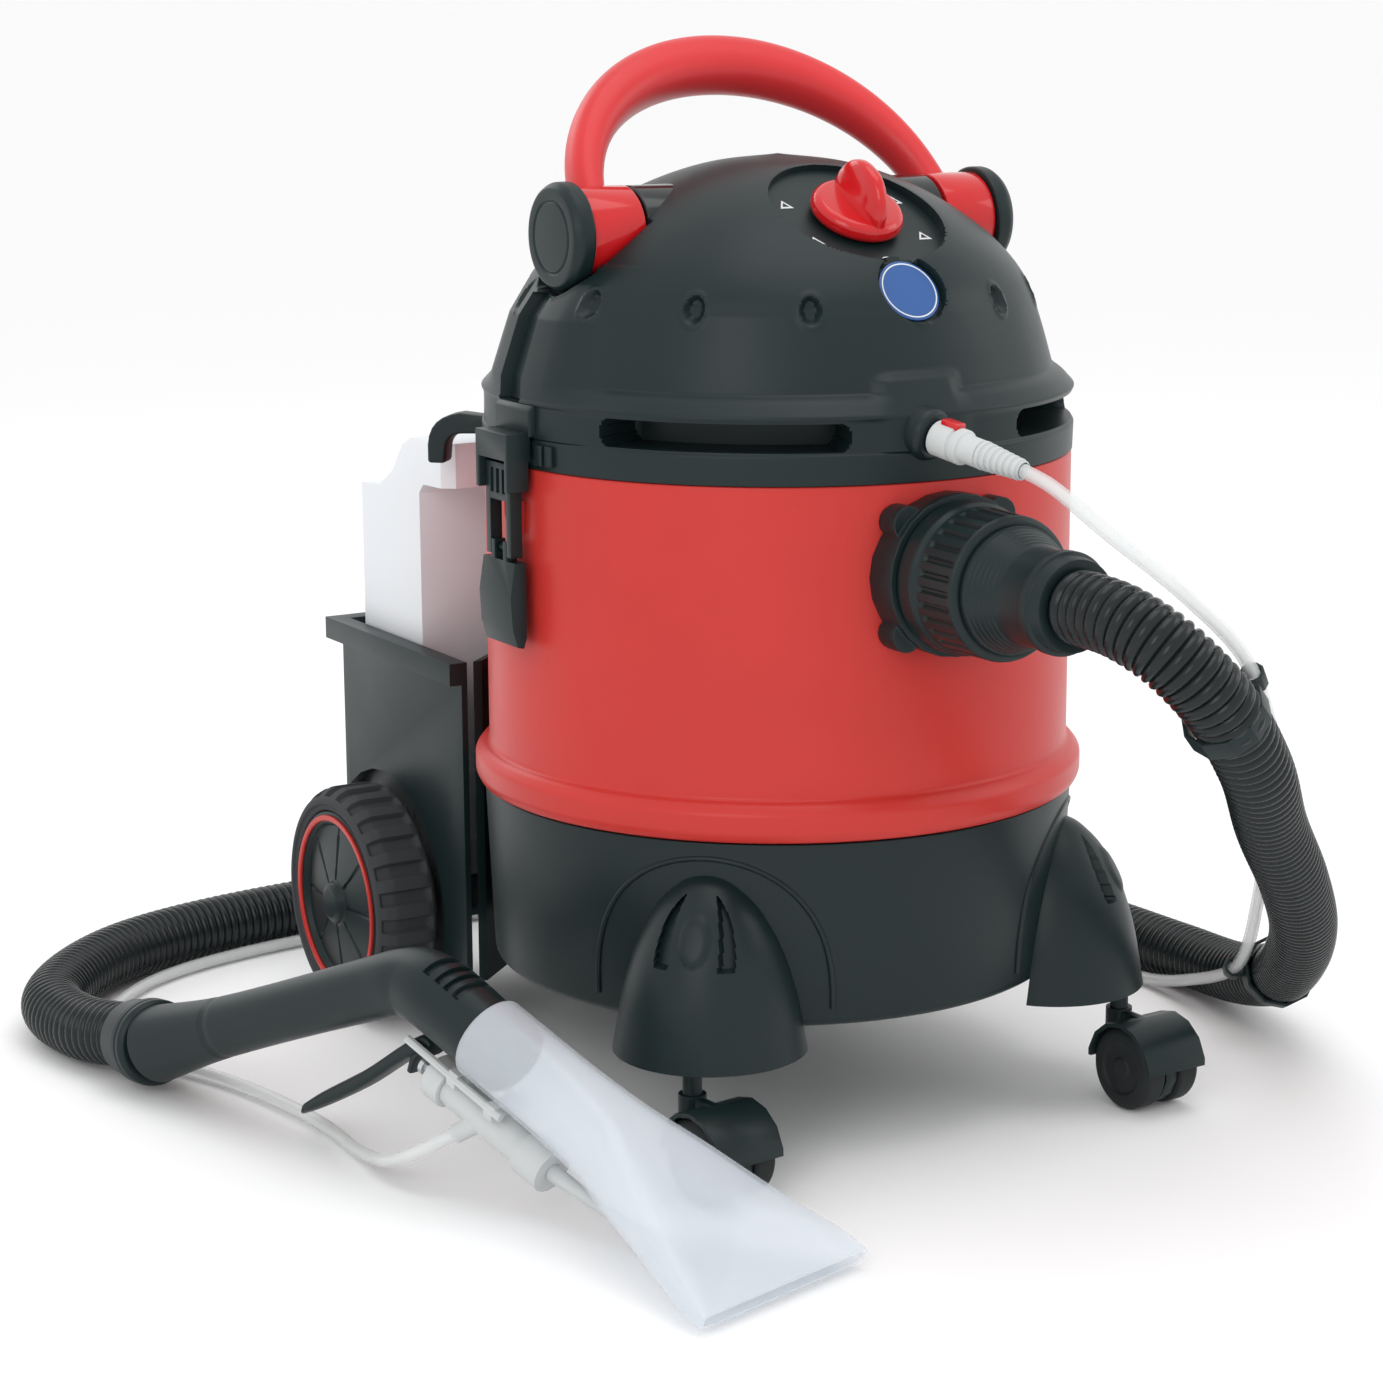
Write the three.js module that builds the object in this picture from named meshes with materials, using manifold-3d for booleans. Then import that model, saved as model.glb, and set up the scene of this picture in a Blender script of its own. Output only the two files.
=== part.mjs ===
// Wet and dry valeting vacuum: drum on casters, motor head, lift-out solution tank, hose and hand tool.
// Millimetres, +Z up, the front of the machine faces -Y. Shapes are made about the drum's axis.
import * as THREE from 'three'
import { mergeVertices } from 'three/addons/utils/BufferGeometryUtils.js'
import Module from 'manifold-3d'

const wasm = await Module()
wasm.setup()

// Driving dimensions
const DRUM_R = 175
const GAP = 0.4
const BASE_BOTTOM = 80
const BASE_TOP = 189.5
const DRUM_TOP = 400
const COLLAR_BOTTOM = 391
const DOME_TOP = 562
const HANDLE_Z = 519
const HANDLE_REACH = 120
const HANDLE_LEAN = 40
const INLET_Z = 339
const WHEEL_R = 75
const AXLE_Y = 243
const AXLE_Z = 75
const CASTER_R = 25
const STEM_X = 150
const STEM_Y = -150
const HOSE_R = 20
const TUBE_R = 4
const HOSE_STEPS = 38
const TUBE_STEPS = 44
const CARRIER_RIM = 250
const CENTRE_X = -88
const CENTRE_Y = -11
const ROUND = 30

const DEG = Math.PI / 180
const v3 = (x, y, z) => new THREE.Vector3(x, y, z)

// Finishes
const finish = (color, roughness, metalness = 0) =>
  new THREE.MeshStandardMaterial({ color, roughness, metalness })
const BLACK = finish(0x2c3537, 0.5)
const RED = finish(0xc9413b, 0.42)
const GLOSS_RED = finish(0xd0262c, 0.15)
const GREY = finish(0xc4c8c8, 0.45)
const MILKY = finish(0xe2e6ea, 0.3)
const CLEAR = finish(0xd8e2ea, 0.12)
const BLUE = finish(0x1d4f8c, 0.3)
const RUBBER = finish(0x1c1e1f, 0.85)
const STEEL = finish(0xa7abae, 0.3, 1)
const FOAM = finish(0x3a3d40, 0.95)

const machine = new THREE.Group()

function add(name, geometry, material) {
  const mesh = new THREE.Mesh(geometry, material)
  mesh.name = name
  machine.add(mesh)
  return mesh
}

// Booleans
function solid(geometry) {
  const bare = geometry.clone()
  bare.deleteAttribute('normal')
  bare.deleteAttribute('uv')
  const merged = mergeVertices(bare, 1e-4)
  const mesh = new wasm.Mesh({
    numProp: 3,
    vertProperties: new Float32Array(merged.attributes.position.array),
    triVerts: new Uint32Array(merged.index.array)
  })
  return new wasm.Manifold(mesh)
}

function geometryOf(body) {
  const mesh = body.getMesh()
  const geometry = new THREE.BufferGeometry()
  geometry.setAttribute('position', new THREE.BufferAttribute(new Float32Array(mesh.vertProperties), 3))
  geometry.setIndex(new THREE.BufferAttribute(new Uint32Array(mesh.triVerts), 1))
  geometry.computeVertexNormals()
  return geometry
}

const join = (...parts) => geometryOf(parts.map(solid).reduce((a, b) => a.add(b)))
const cut = (body, ...tools) => geometryOf(tools.map(solid).reduce((a, b) => a.subtract(b), solid(body)))
const common = (a, b) => geometryOf(solid(a).intersect(solid(b)))

// Placed shapes
function box(x0, x1, y0, y1, z0, z1) {
  return new THREE.BoxGeometry(x1 - x0, y1 - y0, z1 - z0)
    .translate((x0 + x1) / 2, (y0 + y1) / 2, (z0 + z1) / 2)
}

function rodBetween(a, b, radius, sides = 12, endRadius = radius) {
  const along = b.clone().sub(a)
  const turn = new THREE.Quaternion().setFromUnitVectors(v3(0, 1, 0), along.clone().normalize())
  return new THREE.CylinderGeometry(endRadius, radius, along.length(), sides)
    .applyQuaternion(turn)
    .translate((a.x + b.x) / 2, (a.y + b.y) / 2, (a.z + b.z) / 2)
}

// A profile of [radius, height] pairs turned about +Z
function turned(profile, sides = ROUND) {
  const points = profile.map(([r, z]) => new THREE.Vector2(r, z))
  return new THREE.LatheGeometry(points, sides).rotateX(Math.PI / 2)
}

// A ring's profile closes on itself
const turnedRing = (profile, sides = ROUND) => turned([...profile, profile[0]], sides)

// A turned shape with its axis laid from a point along a direction
function turnedAlong(profile, origin, direction, sides = 24, ring = false) {
  const turn = new THREE.Quaternion().setFromUnitVectors(v3(0, 0, 1), direction.clone().normalize())
  const shape = ring ? turnedRing(profile, sides) : turned(profile, sides)
  return shape.applyQuaternion(turn).translate(origin.x, origin.y, origin.z)
}

function outline(points) {
  return new THREE.Shape(points.map(([x, y]) => new THREE.Vector2(x, y)))
}

function extruded(shape, depth, curveSegments = 24) {
  return new THREE.ExtrudeGeometry(shape, { depth, bevelEnabled: false, curveSegments })
}

// An outline in the (y, z) plane, extruded along x about the middle
function extrudedAcross(points, halfWidth) {
  return extruded(outline(points), 2 * halfWidth)
    .applyMatrix4(new THREE.Matrix4().makeBasis(v3(0, 1, 0), v3(0, 0, 1), v3(1, 0, 0)))
    .translate(-halfWidth, 0, 0)
}

// An outline in the (x, z) plane, extruded along y about the middle
function extrudedDeep(points, halfDepth) {
  return extruded(outline(points), 2 * halfDepth)
    .rotateX(Math.PI / 2)
    .translate(0, halfDepth, 0)
}

// A band of a ring between two azimuths, measured from the front (-Y) towards +X
function ringSector(inner, outer, from, to, z0, z1) {
  const start = (from - 90) * DEG
  const end = (to - 90) * DEG
  const shape = new THREE.Shape()
  shape.absarc(0, 0, outer, start, end, false)
  shape.absarc(0, 0, inner, end, start, true)
  return extruded(shape, z1 - z0, 5).translate(0, 0, z0)
}

// A closed skin over rings of points, with a fan at each end
function lofted(rings) {
  const sides = rings[0].length
  const positions = rings.flat().flatMap((p) => [p.x, p.y, p.z])
  const index = []
  for (let row = 0; row < rings.length - 1; row++) {
    for (let side = 0; side < sides; side++) {
      const a = row * sides + side
      const b = row * sides + (side + 1) % sides
      index.push(a, b, a + sides, b, b + sides, a + sides)
    }
  }
  const last = (rings.length - 1) * sides
  for (let side = 1; side < sides - 1; side++) {
    index.push(0, side + 1, side, last, last + side, last + side + 1)
  }
  const points = rings.flat()
  let volume = 0
  for (let i = 0; i < index.length; i += 3) {
    const [a, b, c] = [points[index[i]], points[index[i + 1]], points[index[i + 2]]]
    volume += a.dot(v3().crossVectors(b, c))
  }
  if (volume < 0) index.reverse()
  const geometry = new THREE.BufferGeometry()
  geometry.setAttribute('position', new THREE.Float32BufferAttribute(positions, 3))
  geometry.setIndex(index)
  geometry.computeVertexNormals()
  return geometry
}

// A rounded rectangle or ellipse section: power 2 is an ellipse, larger is squarer
function sectionRing(centre, across, up, halfWidth, halfHeight, power = 2, sides = 24) {
  return Array.from({ length: sides }, (_, i) => {
    const angle = (i / sides) * 2 * Math.PI
    const c = Math.cos(angle)
    const s = Math.sin(angle)
    const x = Math.sign(c) * Math.abs(c) ** (2 / power) * halfWidth
    const y = Math.sign(s) * Math.abs(s) ** (2 / power) * halfHeight
    return centre.clone().addScaledVector(across, x).addScaledVector(up, y)
  })
}

function tubeAlong(curve, radius, sides, steps) {
  const shape = new THREE.Shape()
  for (let i = 0; i < sides; i++) {
    const angle = (i / sides) * 2 * Math.PI
    const [x, y] = [radius * Math.cos(angle), radius * Math.sin(angle)]
    if (i === 0) shape.moveTo(x, y)
    else shape.lineTo(x, y)
  }
  return new THREE.ExtrudeGeometry(shape, { steps, extrudePath: curve, curveSegments: 1 })
}

const SIDES = [['left', -1], ['right', 1]]

// Drum, base and carrier: everything that stands on the wheels
function drumAndBase() {
  add('base', turned([[0, BASE_BOTTOM], [168, BASE_BOTTOM], [173.5, 83], [178, BASE_TOP],
    [175.2, BASE_TOP], [170.8, 86], [0, 86]]), BLACK)
  const drum = turned([[0, 86.5], [168, 86.5], [170.2, 90], [174, 190], [181, 190.5], [183.5, 196],
    [183.5, 207], [180, 212], [DRUM_R, 214], [DRUM_R, 390.6], [171.8, 390.6], [171.8, DRUM_TOP],
    [169, DRUM_TOP], [169, 388], [172, 384], [172, 215], [170.5, 190], [167, 92], [0, 91]])
  const bore = rodBetween(v3(0, -120, INLET_Z), v3(0, -190, INLET_Z), 24, 32)
  const catches = SIDES.map(([, sign]) => extrudedDeep([[173.5, 352], [178, 352], [180.3, 362],
    [180.3, 371], [173.5, 371]].map(([x, z]) => [sign * x, z]), 7))
  add('drum', cut(join(drum, ...catches), bore), RED)
}

function casterHood(side, sign) {
  const away = v3(sign * STEM_X, STEM_Y, 0).normalize()
  const [cx, cy] = [away.x * 170, away.y * 170]
  const closedBullet = (inset, bottom) => turned([[0, bottom], [56 - inset, bottom], [50 - inset, 104],
    [41 - inset, 132], [29 - inset / 2, 154 - inset], [14 - inset / 2, 168 - inset],
    [0, 172 - inset]], 16).translate(cx, cy, 0)
  const baseSide = turned([[0, 50], [173.9, 50], [173.9, 83], [178.4, BASE_TOP], [178.4, 200], [0, 200]])
  const socket = rodBetween(v3(sign * STEM_X, STEM_Y, 68), v3(sign * STEM_X, STEM_Y, 112), 10)
  const bore = rodBetween(v3(sign * STEM_X, STEM_Y, 50), v3(sign * STEM_X, STEM_Y, 104), 6.2)
  const shell = cut(closedBullet(0, 68), closedBullet(3, 60))
  const filled = common(join(shell, socket), closedBullet(0, 68))
  const slots = [-1, 1].map((hand) => {
    const along = v3(-away.y, away.x, 0)
    const from = v3(cx, cy, 0).addScaledVector(away, 10).addScaledVector(along, hand * 19)
    return rodBetween(v3(from.x, from.y, 132), v3(from.x + away.x * 50, from.y + away.y * 50, 132), 5, 12)
  })
  add(`caster_hood_${side}`, cut(filled, baseSide, bore, ...slots), BLACK)
}

function caster(side, sign, trailX, trailY) {
  const trail = v3(trailX, trailY, 0).normalize()
  const axle = v3(-trail.y, trail.x, 0)
  const stem = v3(sign * STEM_X, STEM_Y, 0)
  const hub = stem.clone().addScaledVector(trail, 26).setZ(CASTER_R)
  const at = (distance) => hub.clone().addScaledVector(axle, distance)
  const plate = rodBetween(at(-4), at(4), 23.5, 14)
  const fender = cut(rodBetween(at(-22), at(22), 28.5, 14), rodBetween(at(-30), at(30), 26, 14),
    box(-400, 400, -400, 400, -10, CASTER_R + 2))
  const rod = rodBetween(v3(stem.x, stem.y, 30), v3(stem.x, stem.y, 102), 5.5)
  const block = rodBetween(v3(stem.x, stem.y, 24), v3(stem.x, stem.y, 54), 8)
  const bridge = lofted([
    sectionRing(stem.clone().setZ(44), axle, v3(0, 0, 1), 3.9, 9, 4, 12),
    sectionRing(hub.clone().setZ(44), axle, v3(0, 0, 1), 3.9, 9, 4, 12)])
  const frame = join(plate, fender, bridge, block, rod)
  const rimClearance = [[4, 30], [-30, -4]].map(([a, b]) => rodBetween(at(a), at(b), CASTER_R + 0.8, 16))
  add(`caster_frame_${side}`, cut(frame, ...rimClearance, rodBetween(at(-30), at(30), 4.2, 16)), BLACK)
  const wheels = join(rodBetween(at(-21), at(-4.6), CASTER_R, 16), rodBetween(at(4.6), at(21), CASTER_R, 16),
    rodBetween(at(-10), at(10), 3.6, 16))
  add(`caster_wheels_${side}`, wheels, RUBBER)
}

// The rear bin that holds the solution tank, with a well over each big wheel
function carrierPlan(halfWidth, back, drumSide, z0, z1) {
  const block = box(-halfWidth, halfWidth, 100, back, z0, z1)
  const front = turned([[0, z0 - 1], [drumSide, z0 - 1], [drumSide, z1 + 1], [0, z1 + 1]])
  const corner = box(-halfWidth - 1, halfWidth + 1, 90, 128, z0 - 1, z1 + 1)
  return cut(block, front, corner)
}

function wheelWells(radius, inside) {
  return SIDES.map(([, sign]) =>
    rodBetween(v3(sign * inside, AXLE_Y, AXLE_Z), v3(sign * 220, AXLE_Y, AXLE_Z), radius, 28))
}

function carrier() {
  const floor = 92
  const shell = carrierPlan(150, 302, 187, 44, CARRIER_RIM)
  const rim = carrierPlan(158, 311, 187, 236, CARRIER_RIM)
  const inside = cut(carrierPlan(146, 298, 191, floor, CARRIER_RIM + 20), ...wheelWells(88, 137))
  const under = cut(carrierPlan(146, 298, 191, 30, floor - 4), ...wheelWells(88, 137))
  const tongue = box(-70, 70, 110, 195, 73, BASE_BOTTOM - GAP)
  const bin = cut(join(shell, rim), inside, under, ...wheelWells(83, 141))
  const axleHole = rodBetween(v3(-200, AXLE_Y, AXLE_Z), v3(200, AXLE_Y, AXLE_Z), 6.5, 20)
  add('tank_carrier', cut(join(bin, tongue), axleHole), BLACK)
  add('wheel_axle', rodBetween(v3(-189, AXLE_Y, AXLE_Z), v3(189, AXLE_Y, AXLE_Z), 6, 20), STEEL)
}

function bigWheel(side, sign) {
  const origin = v3(0, AXLE_Y, AXLE_Z)
  const out = v3(sign, 0, 0)
  add(`tyre_${side}`, turnedAlong([[60, 148], [70, 148], [74, 151], [WHEEL_R, 156], [WHEEL_R, 178],
    [71, 186], [67, 188], [60, 187]], origin, out, 18, true), RUBBER)
  const disc = turnedAlong([[0, 148], [16, 148], [18, 160], [54, 160], [57, 149], [59.6, 149],
    [59.6, 186.5], [52, 187.5], [51, 184], [12, 188], [10, 191.5], [0, 192]], origin, out, 18)
  add(`wheel_hub_${side}`, cut(disc, rodBetween(v3(sign * 140, AXLE_Y, AXLE_Z),
    v3(sign * 189.4, AXLE_Y, AXLE_Z), 6.4, 20)), BLACK)
}

// Motor head
function domeSolid() {
  return turned([[0, COLLAR_BOTTOM], [175.5, COLLAR_BOTTOM], [176, 407], [174.5, 408.5], [174.5, 425],
    [176, 428], [169, 436], [163, 439], [159, 452], [153, 475], [146.5, 490], [135, 507], [109, 528],
    [67, 551], [30, 560], [0, DOME_TOP]])
}

function domeHollow() {
  return turned([[0, 380], [172.2, 380], [172.2, 403.6], [170.8, 403.6], [170.8, 427], [159, 436],
    [149.5, 473], [131, 504], [106, 525], [65, 548], [0, 558.8]])
}

const PANEL = { centre: v3(0, -82, 528), normal: v3(0, -0.5, 0.866), radius: 52 }
const BADGE = { centre: v3(0, -137, 491.5), normal: v3(0, -0.817, 0.577), radius: 19 }

const COUPLING = { from: v3(-11, -175.5, 417), along: v3(0.257, -0.94, -0.2).normalize() }

function dishTools(spot, radius) {
  const up = (distance) => spot.centre.clone().addScaledVector(spot.normal, distance)
  return [rodBetween(up(-3), up(60), radius + 3, 20), rodBetween(up(0), up(70), radius, 20)]
}

function headShell() {
  const outer = domeSolid()
  const pockets = SIDES.map(([, sign]) => {
    const at = (x) => v3(sign * x, 0, HANDLE_Z)
    return [rodBetween(at(99), at(156), 32.5, 16), rodBetween(at(102.5), at(170), 29.6, 18),
      rodBetween(at(137.8), at(170), 32.4, 18)]
  })
  const dishes = [dishTools(PANEL, PANEL.radius), dishTools(BADGE, BADGE.radius + 2.5), ...pockets]
  const fairings = SIDES.map(([, sign]) => cut(
    extrudedDeep([[sign * 148, 412], [sign * 177.6, 412], [sign * 177.6, 440], [sign * 172, 474],
      [sign * 160, 494], [sign * 148, 494]], 20),
    extrudedDeep([[sign * 170, 424], [sign * 190, 424], [sign * 190, 520], [sign * 152, 520],
      [sign * 163, 474], [sign * 170, 444]], 12),
    domeHollow()))
  const spout = (distance) => COUPLING.from.clone().addScaledVector(COUPLING.along, distance)
  const boss = rodBetween(spout(1.5), spout(4.5), 14, 20)
  const hollow = cut(domeHollow(), ...dishes.map(([liner]) => liner))
  const shell = join(cut(outer, hollow), boss, ...fairings)
  const vents = [[-66, -19], [19, 66], [114, 161], [199, 246]].map(([from, to]) =>
    ringSector(160, 190, from, to, 410, 424))
  const spindle = rodBetween(PANEL.centre.clone().addScaledVector(PANEL.normal, -20),
    PANEL.centre.clone().addScaledVector(PANEL.normal, 20), 6.4, 20)
  const gland = rodBetween(v3(0, 150, 417), v3(0, 190, 417), 7.4, 20)
  const outlet = rodBetween(spout(-30), spout(10), 7, 16)
  add('head_shell', cut(shell, ...dishes.flatMap(([, ...tools]) => tools), ...vents, spindle,
    gland, outlet), BLACK)
}

function headInside() {
  add('head_seal', turnedRing([[169.4, 400.3], [171.8, 400.3], [171.8, 403.3], [169.4, 403.3]]), RUBBER)
  add('motor_deck', turnedRing([[36, 403.8], [170.4, 403.8], [170.4, 407.8], [36, 407.8]]), BLACK)
  add('fan_housing', turnedRing([[20, 408.2], [64, 408.2], [66, 411], [66, 446], [30, 446], [30, 443],
    [62, 443], [62, 412], [20, 412]], 16), STEEL)
  add('fan', turned([[0, 416], [14, 416], [56, 419], [56, 430], [8, 436], [5, 446.5], [5, 456], [18, 456],
    [18, 488], [5, 488], [5, 506], [0, 506]], 16), STEEL)
  add('motor_body', turnedRing([[19, 454], [40, 454], [40, 492], [19, 492]], 20), STEEL)
  const cage = turnedRing([[34, 352], [30, 348], [2, 346], [2, 343], [32, 344.5], [38, 351], [38, 398],
    [46, 398], [46, 403.4], [18, 403.4], [18, 399], [34, 399]], 14)
  const windows = [0, 60, 120].map((turn) =>
    box(-60, 60, -9, 9, 354, 390).rotateZ(turn * DEG))
  add('float_cage', cut(cage, ...windows), BLACK)
  add('float_ball', new THREE.SphereGeometry(23, 12, 8).rotateX(Math.PI / 2).translate(0, 0, 370), RED)
  add('foam_filter', turnedRing([[38.6, 350], [47, 350], [47, 397.4], [38.6, 397.4]], 20), FOAM)
  add('water_pump', join(box(-110, -70, 40, 90, 408.2, 440),
    rodBetween(v3(-90, 65, 440), v3(-90, 65, 462), 18, 24)), BLACK)
  const back = (distance) => PANEL.centre.clone().addScaledVector(PANEL.normal, -distance)
  add('switch_body', rodBetween(back(3.4), back(24), 15, 8), BLACK)
  const face = (distance) => BADGE.centre.clone().addScaledVector(BADGE.normal, distance)
  add('badge', rodBetween(face(0.3), face(1.8), BADGE.radius, 24), BLUE)
  const gland = turnedAlong([[0, 0], [7, 0], [7, 12], [11, 12.4], [11, 17], [6, 18], [5.6, 22], [0, 22]],
    v3(0, 165, 417), v3(0, 1, 0), 20)
  add('cable_gland', cut(gland, rodBetween(v3(0, 160, 417), v3(0, 215, 417), 3.8, 16)), RUBBER)
}

function switchKnob() {
  const up = (distance) => PANEL.centre.clone().addScaledVector(PANEL.normal, distance)
  const slope = v3(0, -0.866, -0.5)
  const disc = turnedAlong([[0, 1], [25, 1], [27.5, 4], [27, 9], [24, 12], [0, 13]],
    PANEL.centre, PANEL.normal, 20)
  const fin = lofted([0, 8, 17, 24].map((height, row) => sectionRing(
    up(11 + height), v3(1, 0, 0), slope,
    [8, 6.5, 5.5, 4][row], [25, 23, 17, 7][row], 2.4, 12)))
  const shaft = rodBetween(up(-3), up(3), 5.9, 20)
  add('switch_knob', join(disc, fin, shaft), GLOSS_RED)
}

// Carry handle: an arch over two barrels that turn on bosses at the sides of the dome
function handle() {
  for (const [side, sign] of SIDES) {
    add(`handle_pivot_${side}`, turnedAlong([[0, 102.9], [24, 102.9], [24, 104], [14, 104], [14, 138.4],
      [31, 138.6], [31, 147], [27, 151.5], [16, 151.5], [15, 150.3], [14, 151.5], [0, 151.5]],
    v3(0, 0, HANDLE_Z), v3(sign, 0, 0), 16), BLACK)
  }
  const lean = HANDLE_LEAN * DEG
  const up = v3(0, Math.sin(lean), Math.cos(lean))
  const depth = v3(0, Math.cos(lean), -Math.sin(lean))
  const pivot = v3(0, 0, HANDLE_Z)
  const steps = 12
  const rings = Array.from({ length: steps + 1 }, (_, i) => {
    const angle = Math.PI * (i / steps)
    const rise = HANDLE_REACH * Math.sin(angle) ** 0.9
    const crown = Math.sin(angle) ** 1.5
    const centre = pivot.clone().add(v3(-120.5 * Math.cos(angle), 0, 0))
      .addScaledVector(up, Math.max(rise, 6))
    const normal = v3(-Math.cos(angle) * 1.15, 0, 0).addScaledVector(up, Math.sin(angle)).normalize()
    return sectionRing(centre, depth, normal, 14 + 3 * crown, 9.5 + 7.5 * crown, 2.2, 10)
  })
  const barrels = SIDES.map(([, sign]) =>
    rodBetween(v3(sign * 104.3, 0, HANDLE_Z), v3(sign * 138, 0, HANDLE_Z), 28, 24))
  const bores = SIDES.map(([, sign]) =>
    rodBetween(v3(sign * 90, 0, HANDLE_Z), v3(sign * 150, 0, HANDLE_Z), 14.5, 32))
  add('carry_handle', cut(join(lofted(rings), ...barrels), ...bores), RED)
}

// Side latch: a bracket on the head, a swinging link and a thumb lever
function latch(side, sign) {
  const b = (x0, x1, y0, y1, z0, z1) => sign > 0 ? box(x0, x1, y0, y1, z0, z1) : box(-x1, -x0, y0, y1, z0, z1)
  const pin = (x, z, y0, y1, r, sides = 16) => rodBetween(v3(sign * x, y0, z), v3(sign * x, y1, z), r, sides)
  const cheeks = [[-19.5, -15.6], [15.6, 19.5]].map(([y0, y1]) => b(178, 192, y0, y1, 378, 397))
  add(`latch_bracket_${side}`, join(b(176.6, 192, -19.5, 19.5, 396, 411.5), ...cheeks), BLACK)
  const link = cut(b(180.6, 188, -15, 15, 340, 393.5), b(170, 195, -9.6, 9.6, 330, 372),
    ...[-7, 0, 7].map((y) => b(186.4, 195, y - 2, y + 2, 376, 390)))
  const crossbar = pin(183.3, 344, -14, 14, 2.4)
  add(`latch_link_${side}`, join(link, crossbar), BLACK)
  const thumb = extrudedDeep([[181, 337.6], [188, 337.6], [191, 318], [190, 300], [187, 289], [183, 288],
    [181, 294]].map(([x, z]) => [sign * x, z]), 19.5)
  const ears = [[-9, -5], [5, 9]].map(([y0, y1]) => b(181, 188, y0, y1, 336, 348.5))
  add(`latch_lever_${side}`, cut(join(thumb, ...ears), pin(183.3, 344, -20, 20, 2.9)), BLACK)
}

function cableHook(side, sign) {
  const hook = new THREE.Shape()
  hook.moveTo(176.4, 402)
  hook.lineTo(196, 404)
  hook.quadraticCurveTo(216, 402, 217, 384)
  hook.lineTo(217, 373)
  hook.lineTo(206, 373)
  hook.lineTo(205, 384)
  hook.quadraticCurveTo(203, 391.5, 194, 391.5)
  hook.lineTo(176.4, 392)
  const flat = extruded(hook, 16, 6).rotateX(Math.PI / 2).translate(0, 8, 0)
  const collar = turned([[0, 360], [176.4, 360], [176.4, 420], [0, 420]])
  add(`cable_hook_${side}`, cut(flat.rotateZ((sign > 0 ? 44 : 136) * DEG), collar), BLACK)
}

// Quick coupling for the solution tube, with its release button
function quickCoupling() {
  const body = turnedAlong([[0, -16], [6.6, -16], [6.6, 5.5], [10, 5.5], [10, 26], [8, 27], [8, 38], [0, 38]],
    COUPLING.from, COUPLING.along, 24)
  const spot = COUPLING.from.clone().addScaledVector(COUPLING.along, 15)
  const well = box(-4.4, 4.4, -6.4, 6.4, 6, 16).rotateX(12 * DEG).rotateZ(15.3 * DEG)
    .translate(spot.x, spot.y, spot.z)
  add('tube_coupling', cut(body, well), GREY)
  const button = box(-4, 4, -6, 6, 8.4, 12.2).rotateX(12 * DEG).rotateZ(15.3 * DEG)
    .translate(spot.x, spot.y, spot.z)
  add('coupling_button', button, GLOSS_RED)
}

// Hose port
function inlet() {
  const out = v3(0, -1, 0)
  const origin = v3(0, 0, INLET_Z)
  const disc = turnedAlong([[0, 140], [46, 140], [46, 190], [0, 190]], origin, out, 24)
  const lobes = [45, 135, 225, 315].map((angle) => {
    const [x, z] = [44 * Math.cos(angle * DEG), INLET_Z + 44 * Math.sin(angle * DEG)]
    return rodBetween(v3(x, -140, z), v3(x, -186, z), 10, 16)
  })
  const spigot = turnedAlong([[0, 150], [23.6, 150], [23.6, 215], [0, 215]], origin, out, 18)
  const drumWall = turned([[0, 250], [DRUM_R + GAP, 250], [DRUM_R + GAP, 420], [0, 420]])
  const collar = cut(join(disc, ...lobes), drumWall)
  const bore = turnedAlong([[0, 100], [20, 100], [20, 230], [0, 230]], origin, out, 18)
  add('inlet_flange', cut(join(collar, spigot), bore), BLACK)
  add('hose_nut', turnedAlong([[24.2, 190.5], [43, 190.5], [43, 206], [41, 208], [40, 238], [34, 240],
    [24.2, 240]], origin, out, 18, true), BLACK)
}

// Solution tank: a body in the carrier with a shoulder that reaches over towards the drum
function solutionTank() {
  const side = [[198, 93], [292, 93], [295, 330], [291, 338], [283, 342], [256, 344], [236, 356],
    [221, 374], [208, 380], [160, 381], [160, 353], [192, 352], [198, 346]]
  const upper = extrudedAcross(side, 142)
  const drumClear = turned([[0, 60], [189, 60], [189, 400], [0, 400]])
  const narrow = SIDES.map(([, sign]) => box(Math.min(sign * 132, sign * 160),
    Math.max(sign * 132, sign * 160), 150, 310, 80, 170))
  const corners = SIDES.flatMap(([, sign]) => [[150, 1], [300, -1]].map(([y, hand]) =>
    box(-12, 12, -12, 12, 60, 420).rotateZ(45 * DEG).translate(sign * 146, y + hand * 4, 0)))
  const neck = rodBetween(v3(92, 189, 372), v3(92, 189, 390), 15, 20)
  const cavity = extrudedAcross([[201, 96], [289, 96], [292, 328], [280, 339], [255, 341], [233, 353],
    [218, 371], [206, 376], [195, 376], [195, 356], [201, 350]], 128.5)
  const mouth = rodBetween(v3(92, 189, 368), v3(92, 189, 400), 12, 20)
  add('solution_tank', cut(join(upper, neck), drumClear, ...narrow, ...corners, cavity, mouth), MILKY)
  add('tank_cap', turned([[0, 390.6], [15.4, 390.6], [15.4, 382.5], [19, 382.5], [19, 394], [17, 397],
    [0, 397]], 20).translate(92, 189, 0), BLACK)
}

// Hand tool, lying on the floor in front of the left wheel
const CUFF = v3(-345, 156, 31)
const RING = v3(-326, 101, 53)
const BEND = v3(-270, -54, 116)
const NECK = v3(-256, -106, 94)
const MOUTH = v3(-196, -322, 9)
const CUFF_AXIS = v3(-0.12, 0.985, -0.12).normalize()
const toolSide = v3(0.963, 0.27, 0).normalize()

const upFrom = (along) => v3().crossVectors(along, toolSide).normalize()

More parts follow.
